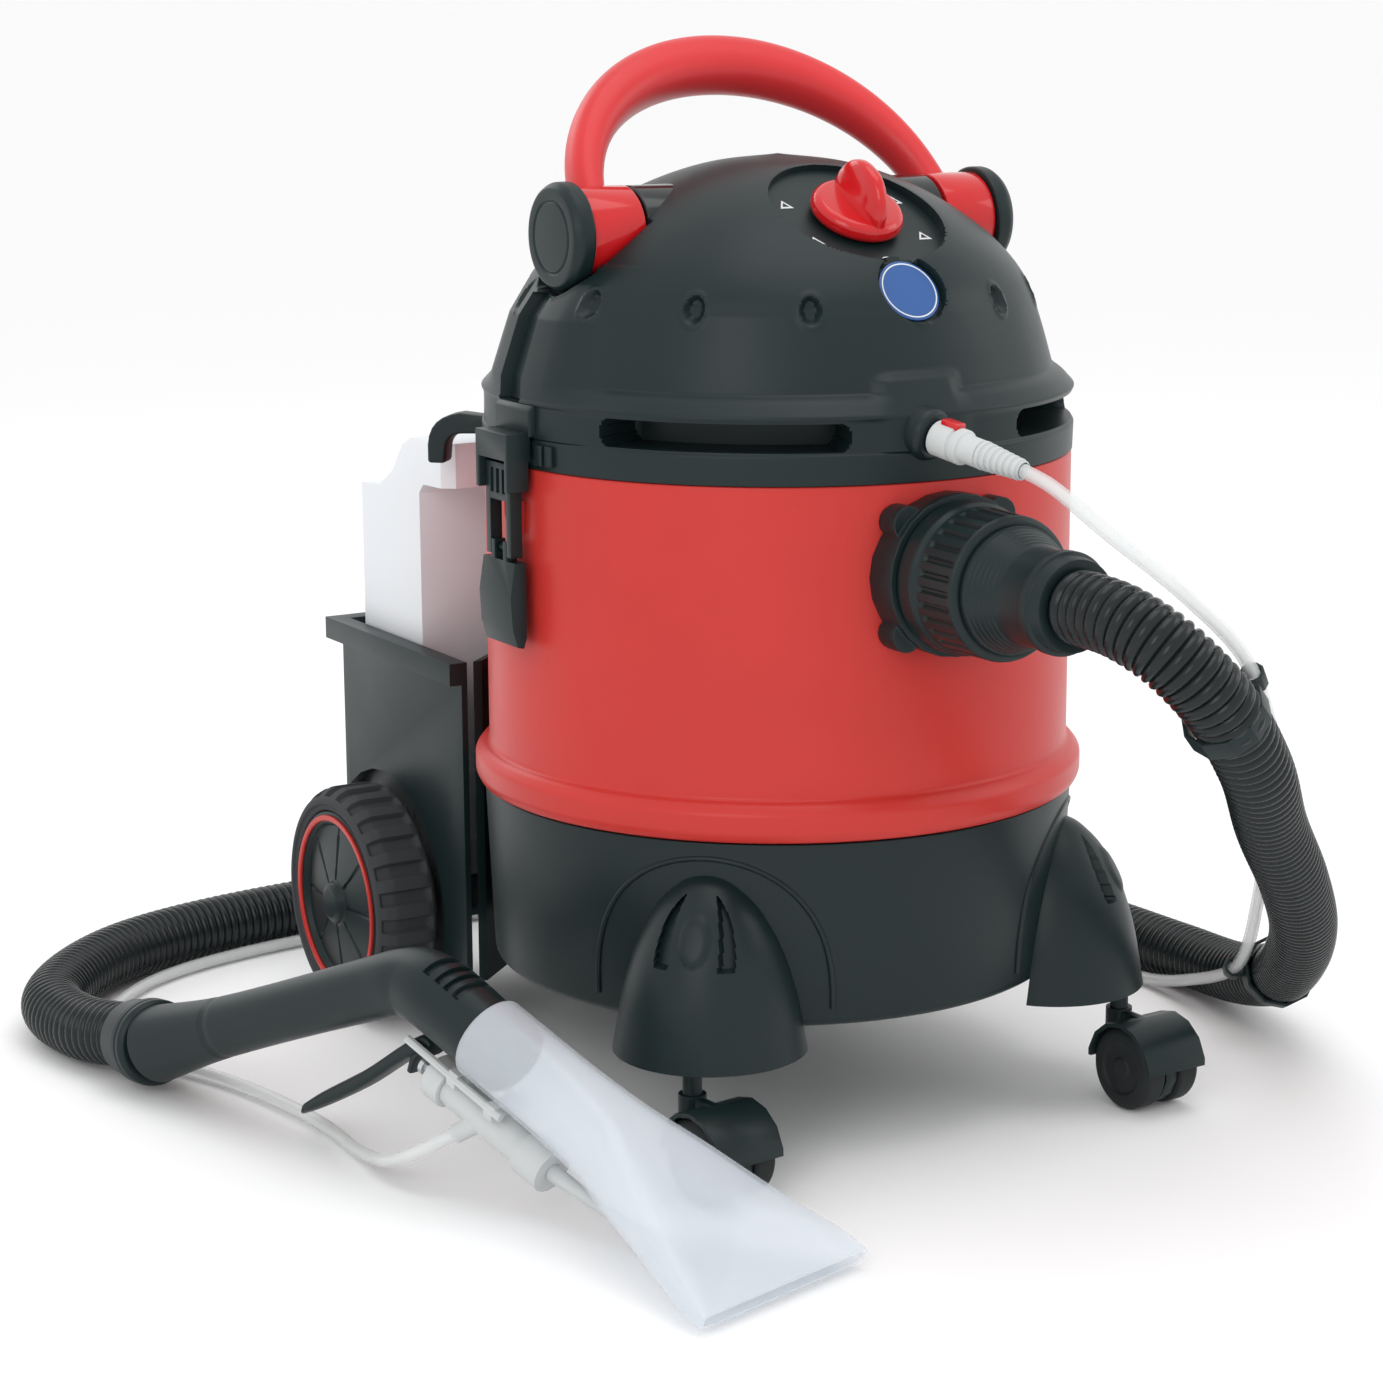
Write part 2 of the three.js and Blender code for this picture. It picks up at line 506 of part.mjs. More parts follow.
function wandRings(radiusAt) {
  const first = BEND.clone().sub(RING).normalize()
  const second = NECK.clone().sub(BEND).normalize()
  const places = [
    [CUFF.clone(), CUFF_AXIS.clone().negate()], [RING.clone(), first],
    [BEND.clone().addScaledVector(first, -34), first],
    [BEND.clone().addScaledVector(first, -15).add(v3(0, 0, -1)), first.clone().lerp(second, 0.25).normalize()],
    [BEND.clone().add(v3(0, 2, -5)), first.clone().lerp(second, 0.5).normalize()],
    [BEND.clone().addScaledVector(second, 15).add(v3(0, 0, -1)), first.clone().lerp(second, 0.75).normalize()],
    [BEND.clone().addScaledVector(second, 34), second],
    [NECK.clone().addScaledVector(second, 24), second]]
  return places.map(([centre, along], row) => {
    const up = upFrom(along)
    const across = v3().crossVectors(up, along).normalize()
    return sectionRing(centre, across, up, radiusAt(row), radiusAt(row), 2, 12)
  })
}

function handTool() {
  const outer = [24, 18.5, 18.5, 19.5, 21, 22, 22, 21]
  const wand = cut(lofted(wandRings((row) => outer[row])), lofted(wandRings((row) => outer[row] - 3)
    .map((ring, row, all) => {
      const end = row === 0 ? -1 : row === all.length - 1 ? 1 : 0
      const along = end < 0 ? CUFF_AXIS.clone().negate() : NECK.clone().sub(BEND)
      return ring.map((p) => p.clone().addScaledVector(along.normalize(), end * 2))
    })))
  const along = NECK.clone().sub(BEND).normalize()
  const up = upFrom(along)
  const slots = [0, 1, 2, 3].map((i) => {
    const centre = BEND.clone().addScaledVector(along, 16 + i * 7).addScaledVector(up, 20)
    return lofted([-9, 9].map((side) => sectionRing(centre.clone().addScaledVector(toolSide, side),
      along, up, 1.7, 8, 4, 8)))
  })
  add('tool_handpiece', cut(wand, ...slots), BLACK)
  const ring = [0, 1, 2, 3].map((row) => sectionRing(
    BEND.clone().addScaledVector(along, 17 + row * 9), toolSide, up, 17.4, 17.4, 2, 12))
  const hole = [0, 3].map((row) => sectionRing(
    BEND.clone().addScaledVector(along, 16 + row * 10), toolSide, up, 15.4, 15.4, 2, 12))
  add('air_slider', cut(lofted(ring), lofted(hole),
    ...[0, 1].map((i) => lofted([-7, 7].map((side) => sectionRing(BEND.clone()
      .addScaledVector(along, 19.5 + i * 14).addScaledVector(up, 17)
      .addScaledVector(toolSide, side), along, up, 2, 6, 4, 8))))), BLACK)
}

function nozzle() {
  const along = MOUTH.clone().sub(NECK)
  const length = along.length()
  const dir = along.clone().normalize()
  const up = upFrom(dir)
  const stations = [[4, 24.5, 24.5, 2, 0], [60, 25, 24.5, 2, 0], [105, 29, 23, 2.3, 0], [135, 38, 19, 2.8, 0],
    [185, 50, 13, 4, -1], [226, 61, 8, 6, -1], [length, 62.5, 5, 8, -1]]
  const rings = (thin, extra) => stations.map(([distance, w, h, power, drop], row) => {
    const end = row === 0 ? -extra : row === stations.length - 1 ? extra : 0
    return sectionRing(NECK.clone().addScaledVector(dir, distance + end).addScaledVector(up, drop),
      toolSide, up, w - thin, h - thin, power, 14)
  })
  add('tool_nozzle', cut(lofted(rings(0, 0)), lofted(rings(2, 2))), CLEAR)
}

// Spray valve under the neck, worked by the trigger
function sprayValve() {
  const dir = MOUTH.clone().sub(NECK).normalize()
  const up = upFrom(dir)
  const origin = NECK.clone().addScaledVector(up, -44)
  const at = (distance, lift = 0) => origin.clone().addScaledVector(dir, distance).addScaledVector(up, lift)
  add('valve_cap', cut(rodBetween(at(-26), at(-12.4), 13.5, 16), rodBetween(at(-30), at(-10), 4.6, 16)), GREY)
  add('valve_plunger', join(rodBetween(at(-34), at(-6), 4, 16), rodBetween(at(-37), at(-34), 6, 16)), STEEL)
  add('spray_pipe', join(rodBetween(at(72.5), at(118, 4), 5, 12, 3), rodBetween(at(117, 4), at(182, 16), 3, 10)),
    GREY)
  const rails = [-1, 1].map((hand) => rodBetween(at(-45, 15).addScaledVector(toolSide, hand * 11),
    at(36, 15).addScaledVector(toolSide, hand * 11), 2.6, 8))
  const bridges = [[-8, 14.2, 5.2], [24, 13.4, 5]].map(([distance, lift, half]) => lofted([0, 7].map((step) =>
    sectionRing(at(distance + step, lift), toolSide, up, 13.6, half, 6, 8))))
  const barb = rodBetween(at(18), at(18, -8).add(v3(-14, 9, -3)), 5.5, 12)
  const body = join(rodBetween(at(-12), at(53), 10.5, 16), rodBetween(at(52), at(72), 13, 16), barb,
    ...rails, ...bridges)
  add('valve_body', cut(body, rodBetween(at(-14), at(-2), 6.6, 16)), GREY)
  return { at, dir, up }
}

function trigger(frame) {
  const pivot = frame.at(-38, 14)
  const tip = v3(-297, 40, 17)
  const mid = v3(-284, -12, 47)
  const arm = (points, wide) => lofted(points.map(([p, thick]) =>
    sectionRing(p, toolSide, frame.up, wide, thick, 4, 12)))
  const lever = arm([[pivot.clone().addScaledVector(frame.dir, 5), 5], [pivot, 6], [mid, 4.5], [tip, 3.5]], 7.6)
  const finger = lofted([[pivot, 4.5], [frame.at(-42.5, 2), 3.6], [frame.at(-42, -8), 3.2]].map(([p, thick]) =>
    sectionRing(p, toolSide, frame.dir, 6, thick, 4, 12)))
  add('trigger', join(lever, finger), BLACK)
}

// Hose and solution tube: routes chosen by hand
const HOSE_ROUTE = [[0, -298, INLET_Z], [0, -306, INLET_Z], [4, -331, 336], [16, -354, 323], [40, -366, 296], [78, -352, 255],
  [126, -312, 206], [176, -274, 160], [224, -230, 115], [265, -178, 75], [298, -122, 43], [316, -62, 25],
  [322, 6, 20.6], [314, 110, 20.6], [280, 226, 20.6], [188, 338, 20.6], [20, 404, 20.6],
  [-150, 416, 20.6], [-286, 380, 20.6],
  [-360, 300, 20.6], [-363, 240, 21.4], [-351.4, 198.4, 25.8], [-349.2, 190.2, 26.8]]
const TUBE_ROUTE = [[6.6, -239.7, 403.3], [8, -262, 398], [11, -308, 379], [26, -354, 352], [58, -363, 319],
  [99, -341, 268], [142, -290, 220], [180, -245, 171], [213, -201, 122], [245, -155, 77],
  [273, -107, 45], [290, -52, 22], [297, 6, 6], [291, 106, 5], [262, 212, 5], [176, 312, 5],
  [18, 382, 5], [-146, 394, 5], [-270, 358, 5], [-332, 284, 5], [-336, 238, 5], [-326, 196, 5],
  [-310, 150, 5], [-298, 100, 5], [-291, 40, 5], [-293, -20, 6], [-294, -60, 14], [-286, -84, 26],
  [-271, -94.8, 35.8]]

const curveOf = (route) => new THREE.CatmullRomCurve3(route.map(([x, y, z]) => v3(x, y, z)), false, 'centripetal')

// The straight piece of a cord between two of its steps
function chord(curve, steps, k) {
  const line = new THREE.Line3(curve.getPointAt(k / steps), curve.getPointAt((k + 1) / steps))
  return { line, along: line.delta(v3()).normalize() }
}

// A band round the hose with a small eye that holds the tube beside it
function hoseClip(name, hose, tube, step) {
  const held = chord(hose, HOSE_STEPS, step)
  const centre = held.line.getCenter(v3())
  const reach = (piece) => piece.line.closestPointToPoint(centre, true, v3())
  const beside = Array.from({ length: TUBE_STEPS }, (_, k) => chord(tube, TUBE_STEPS, k))
    .reduce((a, b) => reach(b).distanceTo(centre) < reach(a).distanceTo(centre) ? b : a)
  const near = reach(beside)
  const rod = (point, along, half, radius) => rodBetween(point.clone().addScaledVector(along, -half),
    point.clone().addScaledVector(along, half), radius, 10)
  add(name, cut(join(rod(centre, held.along, 6, HOSE_R + 3.6), rod(near, beside.along, 5, TUBE_R + 3)),
    rod(centre, held.along, 14, HOSE_R + 1.4), rod(near, beside.along, 12, TUBE_R + 1.1)), BLACK)
}

function cords() {
  const hose = curveOf(HOSE_ROUTE)
  const tube = curveOf(TUBE_ROUTE)
  add('suction_hose', tubeAlong(hose, HOSE_R, 8, HOSE_STEPS), BLACK)
  add('solution_tube', tubeAlong(tube, TUBE_R, 8, TUBE_STEPS), CLEAR)
  add('hose_cuff', turnedAlong([[19, 240.5], [34, 240.5], [36, 246], [34, 256], [28, 264], [26.5, 288],
    [24.5, 297.6], [19, 297.6]], v3(0, 0, INLET_Z), v3(0, -1, 0), 20, true), BLACK)
  add('tool_cuff', turnedAlong([[19, 0.5], [24, 0.5], [26, 3], [26, 14], [24, 16], [23.5, 31.4],
    [19, 31.4]], CUFF, CUFF_AXIS, 20, true), BLACK)
  add('tube_relief', turnedAlong([[4.6, 38.4], [8, 38.4], [5.8, 67.8], [4.6, 67.8]],
    COUPLING.from, COUPLING.along, 16, true), GREY)
  hoseClip('hose_clip_front', hose, tube, 2)
  hoseClip('hose_clip_rear', hose, tube, 11)
}

drumAndBase()
for (const [side, sign] of SIDES) {
  casterHood(side, sign)
  bigWheel(side, sign)
  latch(side, sign)
  cableHook(side, sign)
}
caster('left', -1, 0.12, -0.99)
caster('right', 1, 0.05, -1)
carrier()
headShell()
headInside()
switchKnob()
handle()
quickCoupling()
inlet()
solutionTank()
handTool()
nozzle()
trigger(sprayValve())
cords()

machine.position.set(-CENTRE_X, -CENTRE_Y, 0)
machine.updateMatrixWorld(true)

export default machine
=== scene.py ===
"""The looks of a wet and dry valeting vacuum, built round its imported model.

The machine stands on two twin casters and two large rear wheels. A red drum
carries a black motor head, a solution tank rides behind it, and a ribbed hose
and a clear tube run round the floor to the hand tool. Places are given in the
machine's own millimetres, measured from the drum's axis on the floor, with
the front of the machine towards -Y, and are turned into metres by `place`.
"""

import logging
import math
from collections.abc import Callable, Sequence
from dataclasses import dataclass, field
from enum import Enum

import bmesh
import bpy
import numpy as np
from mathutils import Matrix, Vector


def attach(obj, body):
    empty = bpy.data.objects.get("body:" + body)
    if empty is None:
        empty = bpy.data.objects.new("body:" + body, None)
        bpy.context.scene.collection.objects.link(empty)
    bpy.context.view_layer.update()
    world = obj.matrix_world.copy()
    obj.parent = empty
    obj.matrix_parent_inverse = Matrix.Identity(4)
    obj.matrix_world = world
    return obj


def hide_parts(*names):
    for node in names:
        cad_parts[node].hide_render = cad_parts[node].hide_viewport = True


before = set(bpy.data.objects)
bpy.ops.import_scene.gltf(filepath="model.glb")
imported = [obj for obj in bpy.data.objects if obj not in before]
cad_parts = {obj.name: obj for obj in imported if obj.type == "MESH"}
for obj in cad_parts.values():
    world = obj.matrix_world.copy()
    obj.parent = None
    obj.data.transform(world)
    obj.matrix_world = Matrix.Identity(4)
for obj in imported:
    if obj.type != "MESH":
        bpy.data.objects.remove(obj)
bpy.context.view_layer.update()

AXIS_OFFSET = (88.0, 11.0, 0.0)
UP = Vector((0, 0, 1))
FRONT = Vector((0, -1, 0))

CAMERA_NEAR_M, CAMERA_FAR_M = 0.05, 1000.0
FLOOR_HALF_M = 400.0
FLOOR_DROP_M = 0.0005
WORLD_STRENGTH = 1.0
SEAM_M = 0.00002
RIB_STEPS = 6

log = logging.getLogger("valeting_vacuum")

Point = Sequence[float]
Profile = list[tuple[float, float]]
Ring = list[Vector]
Warp = Callable[[np.ndarray], np.ndarray]


class Side(Enum):
    """The two sides of the machine, seen from the front with -X on the left."""

    LEFT = -1
    RIGHT = 1

    @property
    def word(self) -> str:
        """The side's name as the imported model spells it."""
        return self.name.lower()


def place(points: np.ndarray | Sequence[Point]) -> np.ndarray:
    """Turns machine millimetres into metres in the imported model's frame.

    Args:
        points: One point or many, in millimetres from the drum's axis.

    Returns:
        The same points in metres.
    """
    return (np.asarray(points, float) + AXIS_OFFSET) / 1000.0


# ---------------------------------------------------------------- finishes


def _principled(name: str) -> tuple[bpy.types.Material, bpy.types.Node]:
    """Makes an empty material with its shader.

    Args:
        name: The material's name.

    Returns:
        The material and its Principled shader node.
    """
    material = bpy.data.materials.new(name)
    material.use_nodes = True
    return material, material.node_tree.nodes["Principled BSDF"]


def _speckle(material: bpy.types.Material, scale: float, detail: float = 3.0) -> bpy.types.Node:
    """Adds a noise that is fixed to the piece.

    Args:
        material: The material to add it to.
        scale: Cells to the metre.
        detail: How much finer noise rides on the first.

    Returns:
        The noise node.
    """
    nodes, links = material.node_tree.nodes, material.node_tree.links
    place_node = nodes.new("ShaderNodeTexCoord")
    noise = nodes.new("ShaderNodeTexNoise")
    noise.inputs["Scale"].default_value = scale
    noise.inputs["Detail"].default_value = detail
    links.new(place_node.outputs["Object"], noise.inputs["Vector"])
    return noise


def _bumped(material: bpy.types.Material, shader: bpy.types.Node, source: bpy.types.NodeSocket,
            strength: float, depth_mm: float) -> None:
    """Raises a surface by a height.

    Args:
        material: The material to change.
        shader: Its shader.
        source: The height, from 0 to 1.
        strength: How strongly the height shows.
        depth_mm: The height's full size in millimetres.
    """
    bump = material.node_tree.nodes.new("ShaderNodeBump")
    bump.inputs["Strength"].default_value = strength
    bump.inputs["Distance"].default_value = depth_mm / 1000.0
    material.node_tree.links.new(source, bump.inputs["Height"])
    material.node_tree.links.new(bump.outputs["Normal"], shader.inputs["Normal"])


def _varied(material: bpy.types.Material, shader: bpy.types.Node, source: bpy.types.NodeSocket,
            socket: str, low: float, high: float) -> None:
    """Lets a number on the shader follow a noise.

    Args:
        material: The material to change.
        shader: Its shader.
        source: The noise.
        socket: The shader's socket that follows it.
        low: The number where the noise is lowest.
        high: The number where it is highest.
    """
    spread = material.node_tree.nodes.new("ShaderNodeMapRange")
    spread.inputs["From Min"].default_value = 0.3
    spread.inputs["From Max"].default_value = 0.7
    spread.inputs["To Min"].default_value = low
    spread.inputs["To Max"].default_value = high
    material.node_tree.links.new(source, spread.inputs["Value"])
    material.node_tree.links.new(spread.outputs["Result"], shader.inputs[socket])


def _drifted_tone_and_pit_shade(material: bpy.types.Material, shader: bpy.types.Node, source: bpy.types.NodeSocket,
             colour: Point, amount: float) -> None:
    """Lets the colour drift a little over the piece.

    Args:
        material: The material to change.
        shader: Its shader.
        source: The noise that the colour follows.
        colour: The middle colour.
        amount: The share of the colour that it moves by: a small random drift on the plastics, the depth of
            the painted pit shade on the foam.
    """
    ramp = material.node_tree.nodes.new("ShaderNodeValToRGB")
    for element, where, share in zip(ramp.color_ramp.elements, (0.3, 0.7), (1 - amount, 1 + amount)):
        element.position = where
        element.color = (*(min(1.0, c * share) for c in colour), 1.0)
    material.node_tree.links.new(source, ramp.inputs["Fac"])
    material.node_tree.links.new(ramp.outputs["Color"], shader.inputs["Base Color"])


@dataclass(frozen=True)
class MouldedPlastic:
    """Coloured plastic straight from the mould, with a fine spark-eroded grain."""

    name: str
    colour: tuple[float, float, float]
    roughness: float
    grain_mm: float = 0.55
    grain_depth_mm: float = 0.05
    drift: float = 0.05
    coat: float = 0.0
    shine: float = 0.28

    def material(self) -> bpy.types.Material:
        """Builds the material, with drifting colour, uneven gloss and grain."""
        made, shader = _principled(self.name)
        broad = _speckle(made, 14.0)
        _drifted_tone_and_pit_shade(made, shader, broad.outputs["Fac"], self.colour, self.drift)
        _varied(made, shader, broad.outputs["Fac"], "Roughness", self.roughness - 0.04, self.roughness + 0.05)
        fine = _speckle(made, 1000.0 / self.grain_mm, 1.0)
        _bumped(made, shader, fine.outputs["Fac"], 0.35, self.grain_depth_mm)
        shader.inputs["IOR"].default_value = 1.5
        shader.inputs["Specular IOR Level"].default_value = self.shine
        shader.inputs["Coat Weight"].default_value = self.coat
        shader.inputs["Coat Roughness"].default_value = 0.06
        return made


@dataclass(frozen=True)
class SeeThroughPlastic:
    """Clear or milky plastic, whose thickness shows the light behind it."""

    name: str
    colour: tuple[float, float, float]
    roughness: float
    clearness: float
    cloud: float = 0.0
    alpha: float = 1.0
    wave_mm: float = 0.3

    def material(self) -> bpy.types.Material:
        """Builds the material, with faint flow marks from the mould."""
        made, shader = _principled(self.name)
        flow = _speckle(made, 60.0, 2.0)
        shader.inputs["Base Color"].default_value = (*self.colour, 1.0)
        _varied(made, shader, flow.outputs["Fac"], "Roughness", self.roughness * 0.8, self.roughness * 1.25)
        _bumped(made, shader, flow.outputs["Fac"], 0.2, self.wave_mm)
        shader.inputs["IOR"].default_value = 1.45
        shader.inputs["Transmission Weight"].default_value = self.clearness
        shader.inputs["Subsurface Weight"].default_value = self.cloud
        shader.inputs["Subsurface Radius"].default_value = (0.02, 0.02, 0.022)
        shader.inputs["Alpha"].default_value = self.alpha
        return made


@dataclass(frozen=True)
class Metal:
    """Bare steel with fine turning marks."""

    name: str
    colour: tuple[float, float, float]
    roughness: float

    def material(self) -> bpy.types.Material:
        """Builds the metal with uneven brightness."""
        made, shader = _principled(self.name)
        marks = _speckle(made, 400.0, 4.0)
        shader.inputs["Base Color"].default_value = (*self.colour, 1.0)
        shader.inputs["Metallic"].default_value = 1.0
        _varied(made, shader, marks.outputs["Fac"], "Roughness", self.roughness - 0.06, self.roughness + 0.1)
        _bumped(made, shader, marks.outputs["Fac"], 0.2, 0.05)
        return made


@dataclass(frozen=True)
class Foam:
    """Open-cell filter foam."""

    name: str
    colour: tuple[float, float, float]

    def material(self) -> bpy.types.Material:
        """Builds the foam with its cells sunk as pits by bump, their colour darkened towards each pit's
        middle as painted shade.
        """
        made, shader = _principled(self.name)
        cells = made.node_tree.nodes.new("ShaderNodeTexVoronoi")
        cells.inputs["Scale"].default_value = 700.0
        where = made.node_tree.nodes.new("ShaderNodeTexCoord")
        made.node_tree.links.new(where.outputs["Object"], cells.inputs["Vector"])
        # painted shade: the colour darkens towards the middle of each cell, where the pit lies
        _drifted_tone_and_pit_shade(made, shader, cells.outputs["Distance"], self.colour, 0.5)
        _bumped(made, shader, cells.outputs["Distance"], 0.8, 0.8)
        shader.inputs["Roughness"].default_value = 0.95
        return made


Finish = MouldedPlastic | SeeThroughPlastic | Metal | Foam


class Look(Enum):
    """Every finish on the machine. Its value is the record's slot and how it looks."""

    SHELL_BLACK = ("black_shell", MouldedPlastic("satin_black", (0.007, 0.016, 0.017), 0.38))
    GLOSS_BLACK = ("black_gloss", MouldedPlastic(
        "gloss_black", (0.008, 0.010, 0.011), 0.14, grain_depth_mm=0.01, shine=0.5))
    DRUM_RED = ("red_shell", MouldedPlastic("drum_red", (0.53, 0.034, 0.028), 0.34, drift=0.03))
    HANDLE_RED = ("red_shell", MouldedPlastic("handle_red", (0.62, 0.034, 0.038), 0.32, drift=0.03))
    GLOSS_RED = ("red_gloss", MouldedPlastic(
        "gloss_red", (0.56, 0.010, 0.013), 0.13, grain_depth_mm=0.01, coat=0.4))
    LIGHT_GREY = ("light_grey", MouldedPlastic("light_grey", (0.42, 0.44, 0.43), 0.42, drift=0.03))
    MILKY = ("milky_tank", SeeThroughPlastic("milky_tank", (0.42, 0.45, 0.50), 0.24, 0.12, cloud=0.3))
    CLEAR = ("clear_nozzle", SeeThroughPlastic(
        "clear_nozzle", (0.55, 0.66, 0.74), 0.04, 0.6, wave_mm=0.03, alpha=0.30))
    CLEAR_TUBE = ("clear_tube", SeeThroughPlastic("clear_tube", (0.50, 0.53, 0.52), 0.10, 0.7, alpha=0.85))
    BADGE_BLUE = ("badge_blue", MouldedPlastic(
        "badge_blue", (0.001, 0.008, 0.04), 0.2, shine=0.15, grain_depth_mm=0.01))
    BADGE_PALE = ("light_grey", MouldedPlastic("badge_pale", (0.70, 0.72, 0.74), 0.3, grain_depth_mm=0.01))
    RUBBER = ("rubber_black", MouldedPlastic("soft_rubber", (0.011, 0.014, 0.015), 0.55, grain_mm=0.8))
    TYRE = ("tyre_black", MouldedPlastic("tyre_black", (0.013, 0.018, 0.020), 0.46, grain_mm=0.9))
    RIBBED_HOSE = ("hose_black", MouldedPlastic(
        "ribbed_hose", (0.010, 0.014, 0.015), 0.22, grain_depth_mm=0.02))
    STEEL = ("steel", Metal("turned_steel", (0.55, 0.56, 0.58), 0.3))
    FILTER_FOAM = ("foam", Foam("filter_foam", (0.05, 0.055, 0.06)))

    @property
    def slot(self) -> str:
        """The record's material slot."""
        return self.value[0]

    @property
    def material(self) -> bpy.types.Material:
        """The finish's material, built the first time that it is asked for."""
        finish = self.value[1]
        return bpy.data.materials.get(finish.name) or finish.material()


# ------------------------------------------------------------ making shapes


def rounded(points: Profile, radius: float, steps: int = 5, closed: bool = False) -> Profile:
    """Rounds the corners of a drawn line.

    Args:
        points: The line's corners.
        radius: How far from each corner the rounding starts.
        steps: Points put in for each corner.
        closed: Whether the last point joins the first.

    Returns:
        The rounded line.
    """
    made: Profile = []
    count = len(points)
    for i, corner in enumerate(points):
        if not closed and i in (0, count - 1):
            made.append(corner)
            continue
        here = np.array(corner, float)
        before, after = np.array(points[i - 1], float), np.array(points[(i + 1) % count], float)
        back, on = before - here, after - here
        reach = min(radius, 0.45 * np.linalg.norm(back), 0.45 * np.linalg.norm(on))
        start, end = here + back / np.linalg.norm(back) * reach, here + on / np.linalg.norm(on) * reach
        for t in np.linspace(0, 1, steps):
            made.append(tuple((1 - t) ** 2 * start + 2 * t * (1 - t) * here + t * t * end))
    return made


def finer(points: Profile, step: float) -> Profile:
    """Adds points to a drawn line so that none are further apart than a step."""
    made = [tuple(map(float, points[0]))]
    for (x0, y0), (x1, y1) in zip(points, points[1:]):
        parts = max(1, math.ceil(math.hypot(x1 - x0, y1 - y0) / step))
        made += [(x0 + (x1 - x0) * k / parts, y0 + (y1 - y0) * k / parts) for k in range(1, parts + 1)]
    return made


@dataclass
class Shape:
    """Points and faces in machine millimetres, gathered into one piece.

    Attributes:
        points: The shape's points.
        faces: Its faces, as numbers of points.
    """

    points: list[Point] = field(default_factory=list)
    faces: list[tuple[int, ...]] = field(default_factory=list)

    def grid(self, rows: np.ndarray, wrap_rows: bool = False) -> "Shape":
        """Adds a closed body from rings of points.

        Args:
            rows: An array of rings, each an array of points.
            wrap_rows: Whether the last ring joins the first. If not, both ends are filled.

        Returns:
            This shape.
        """
        start, (count, sides, _) = len(self.points), rows.shape
        self.points += rows.reshape(-1, 3).tolist()
        made = []
        for r in range(count if wrap_rows else count - 1):
            a, b = start + r * sides, start + ((r + 1) % count) * sides
            made += [(a + k, a + (k + 1) % sides, b + (k + 1) % sides, b + k) for k in range(sides)]
        if not wrap_rows:
            made.append(tuple(start + k for k in range(sides))[::-1])
            made.append(tuple(start + (count - 1) * sides + k for k in range(sides)))
        self.faces += made
        return self

    def turned(self, profile: Profile, origin: Point = (0, 0, 0), along: Vector = UP, sides: int = 96,
               ring: bool = False, warp: Warp | None = None) -> "Shape":
        """Adds a turned body.

        Args:
            profile: Radius and height pairs.
            origin: A point on the axis.
            along: The axis' direction.
            sides: How many facets go round.
            ring: Whether the profile closes on itself, as a tyre's does.
            warp: Moves the points, in the body's own frame, before they are placed.

        Returns:
            This shape.
        """
        angle = np.linspace(0, 2 * math.pi, sides, endpoint=False)
        around = np.stack([np.cos(angle), np.sin(angle)], 1)
        line = [(max(r, 0.02), z) for r, z in profile]
        rows = np.array([np.column_stack([around * r, np.full(sides, z)]) for r, z in line])
        if warp:
            rows = warp(rows)
        return self.grid(_stood(rows, origin, along), wrap_rows=ring)

    def lofted(self, rings: Sequence[Sequence[Point]]) -> "Shape":
        """Adds a body that runs through rings of points."""
        return self.grid(np.array([[tuple(p) for p in ring] for ring in rings]))

    def slab(self, outline: Profile, low: float, high: float, origin: Point = (0, 0, 0),
             along: Vector = UP) -> "Shape":
        """Adds a flat plate cut to an outline, standing on its axis."""
        flat = np.array([[(x, y, z) for x, y in outline] for z in (low, high)])
        return self.grid(_stood(flat, origin, along))

    def piece(self, name: str, look: Look, body: str, replaces: Sequence[str] = (),
              bevel_mm: float = 0.0, sharp: float = 34.0) -> bpy.types.Object:
        """Turns the shape into a piece of the machine.

        Args:
            name: The piece's name.
            look: The look that it wears.
            body: The body that it rides on.
            replaces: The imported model's nodes that it stands for.
            bevel_mm: The width of its rounded edges.
            sharp: Edges that turn more than this many degrees stay sharp.

        Returns:
            The piece.
        """
        mesh = bpy.data.meshes.new(name)
        mesh.from_pydata(place(self.points).tolist(), [], self.faces)
        mesh.materials.append(look.material)
        tidy = bmesh.new()
        tidy.from_mesh(mesh)
        bmesh.ops.remove_doubles(tidy, verts=tidy.verts, dist=SEAM_M)
        bmesh.ops.recalc_face_normals(tidy, faces=tidy.faces)
        tidy.to_mesh(mesh)
        tidy.free()
        made = bpy.data.objects.new(name, mesh)
        bpy.context.scene.collection.objects.link(made)
        return dressed(made, body, replaces, bevel_mm, sharp)


def _stood(rows: np.ndarray, origin: Point, along: Vector) -> np.ndarray:
    """Stands a body made about Z on another axis.

    Args:
        rows: The body's points, about Z.
        origin: Where its own origin goes.
        along: Where its Z goes.

    Returns:
        The placed points.
    """
    turn = UP.rotation_difference(Vector(along).normalized()).to_matrix()
    return rows @ np.array(turn).T + np.asarray(origin, float)


def dressed(made: bpy.types.Object, body: str, replaces: Sequence[str] = (),
            bevel_mm: float = 0.0, sharp: float = 34.0) -> bpy.types.Object:
    """Rounds a piece's edges, smooths it and puts it on its body.

    Args:
        made: The piece.
        body: The body that it rides on.
        replaces: The nodes that it stands for.
        bevel_mm: The width of its rounded edges.
        sharp: Edges that turn more than this many degrees stay sharp.

    Returns:
        The piece.
    """
    if bevel_mm:
        edge = made.modifiers.new("rounded_edges", "BEVEL")
        edge.width = bevel_mm / 1000.0
        edge.segments = 3
        edge.limit_method = "ANGLE"
        edge.angle_limit = math.radians(sharp)
        view = bpy.context.evaluated_depsgraph_get()
        rounded_mesh = bpy.data.meshes.new_from_object(made.evaluated_get(view))
        made.modifiers.clear()
        made.data = rounded_mesh
    made.data.shade_smooth()
    made.data.set_sharp_from_angle(angle=math.radians(sharp))
    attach(made, body)
    if replaces:
        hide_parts(*replaces)
    log.info("%s: %d faces, on %s", made.name, len(made.data.polygons), body)
    return made


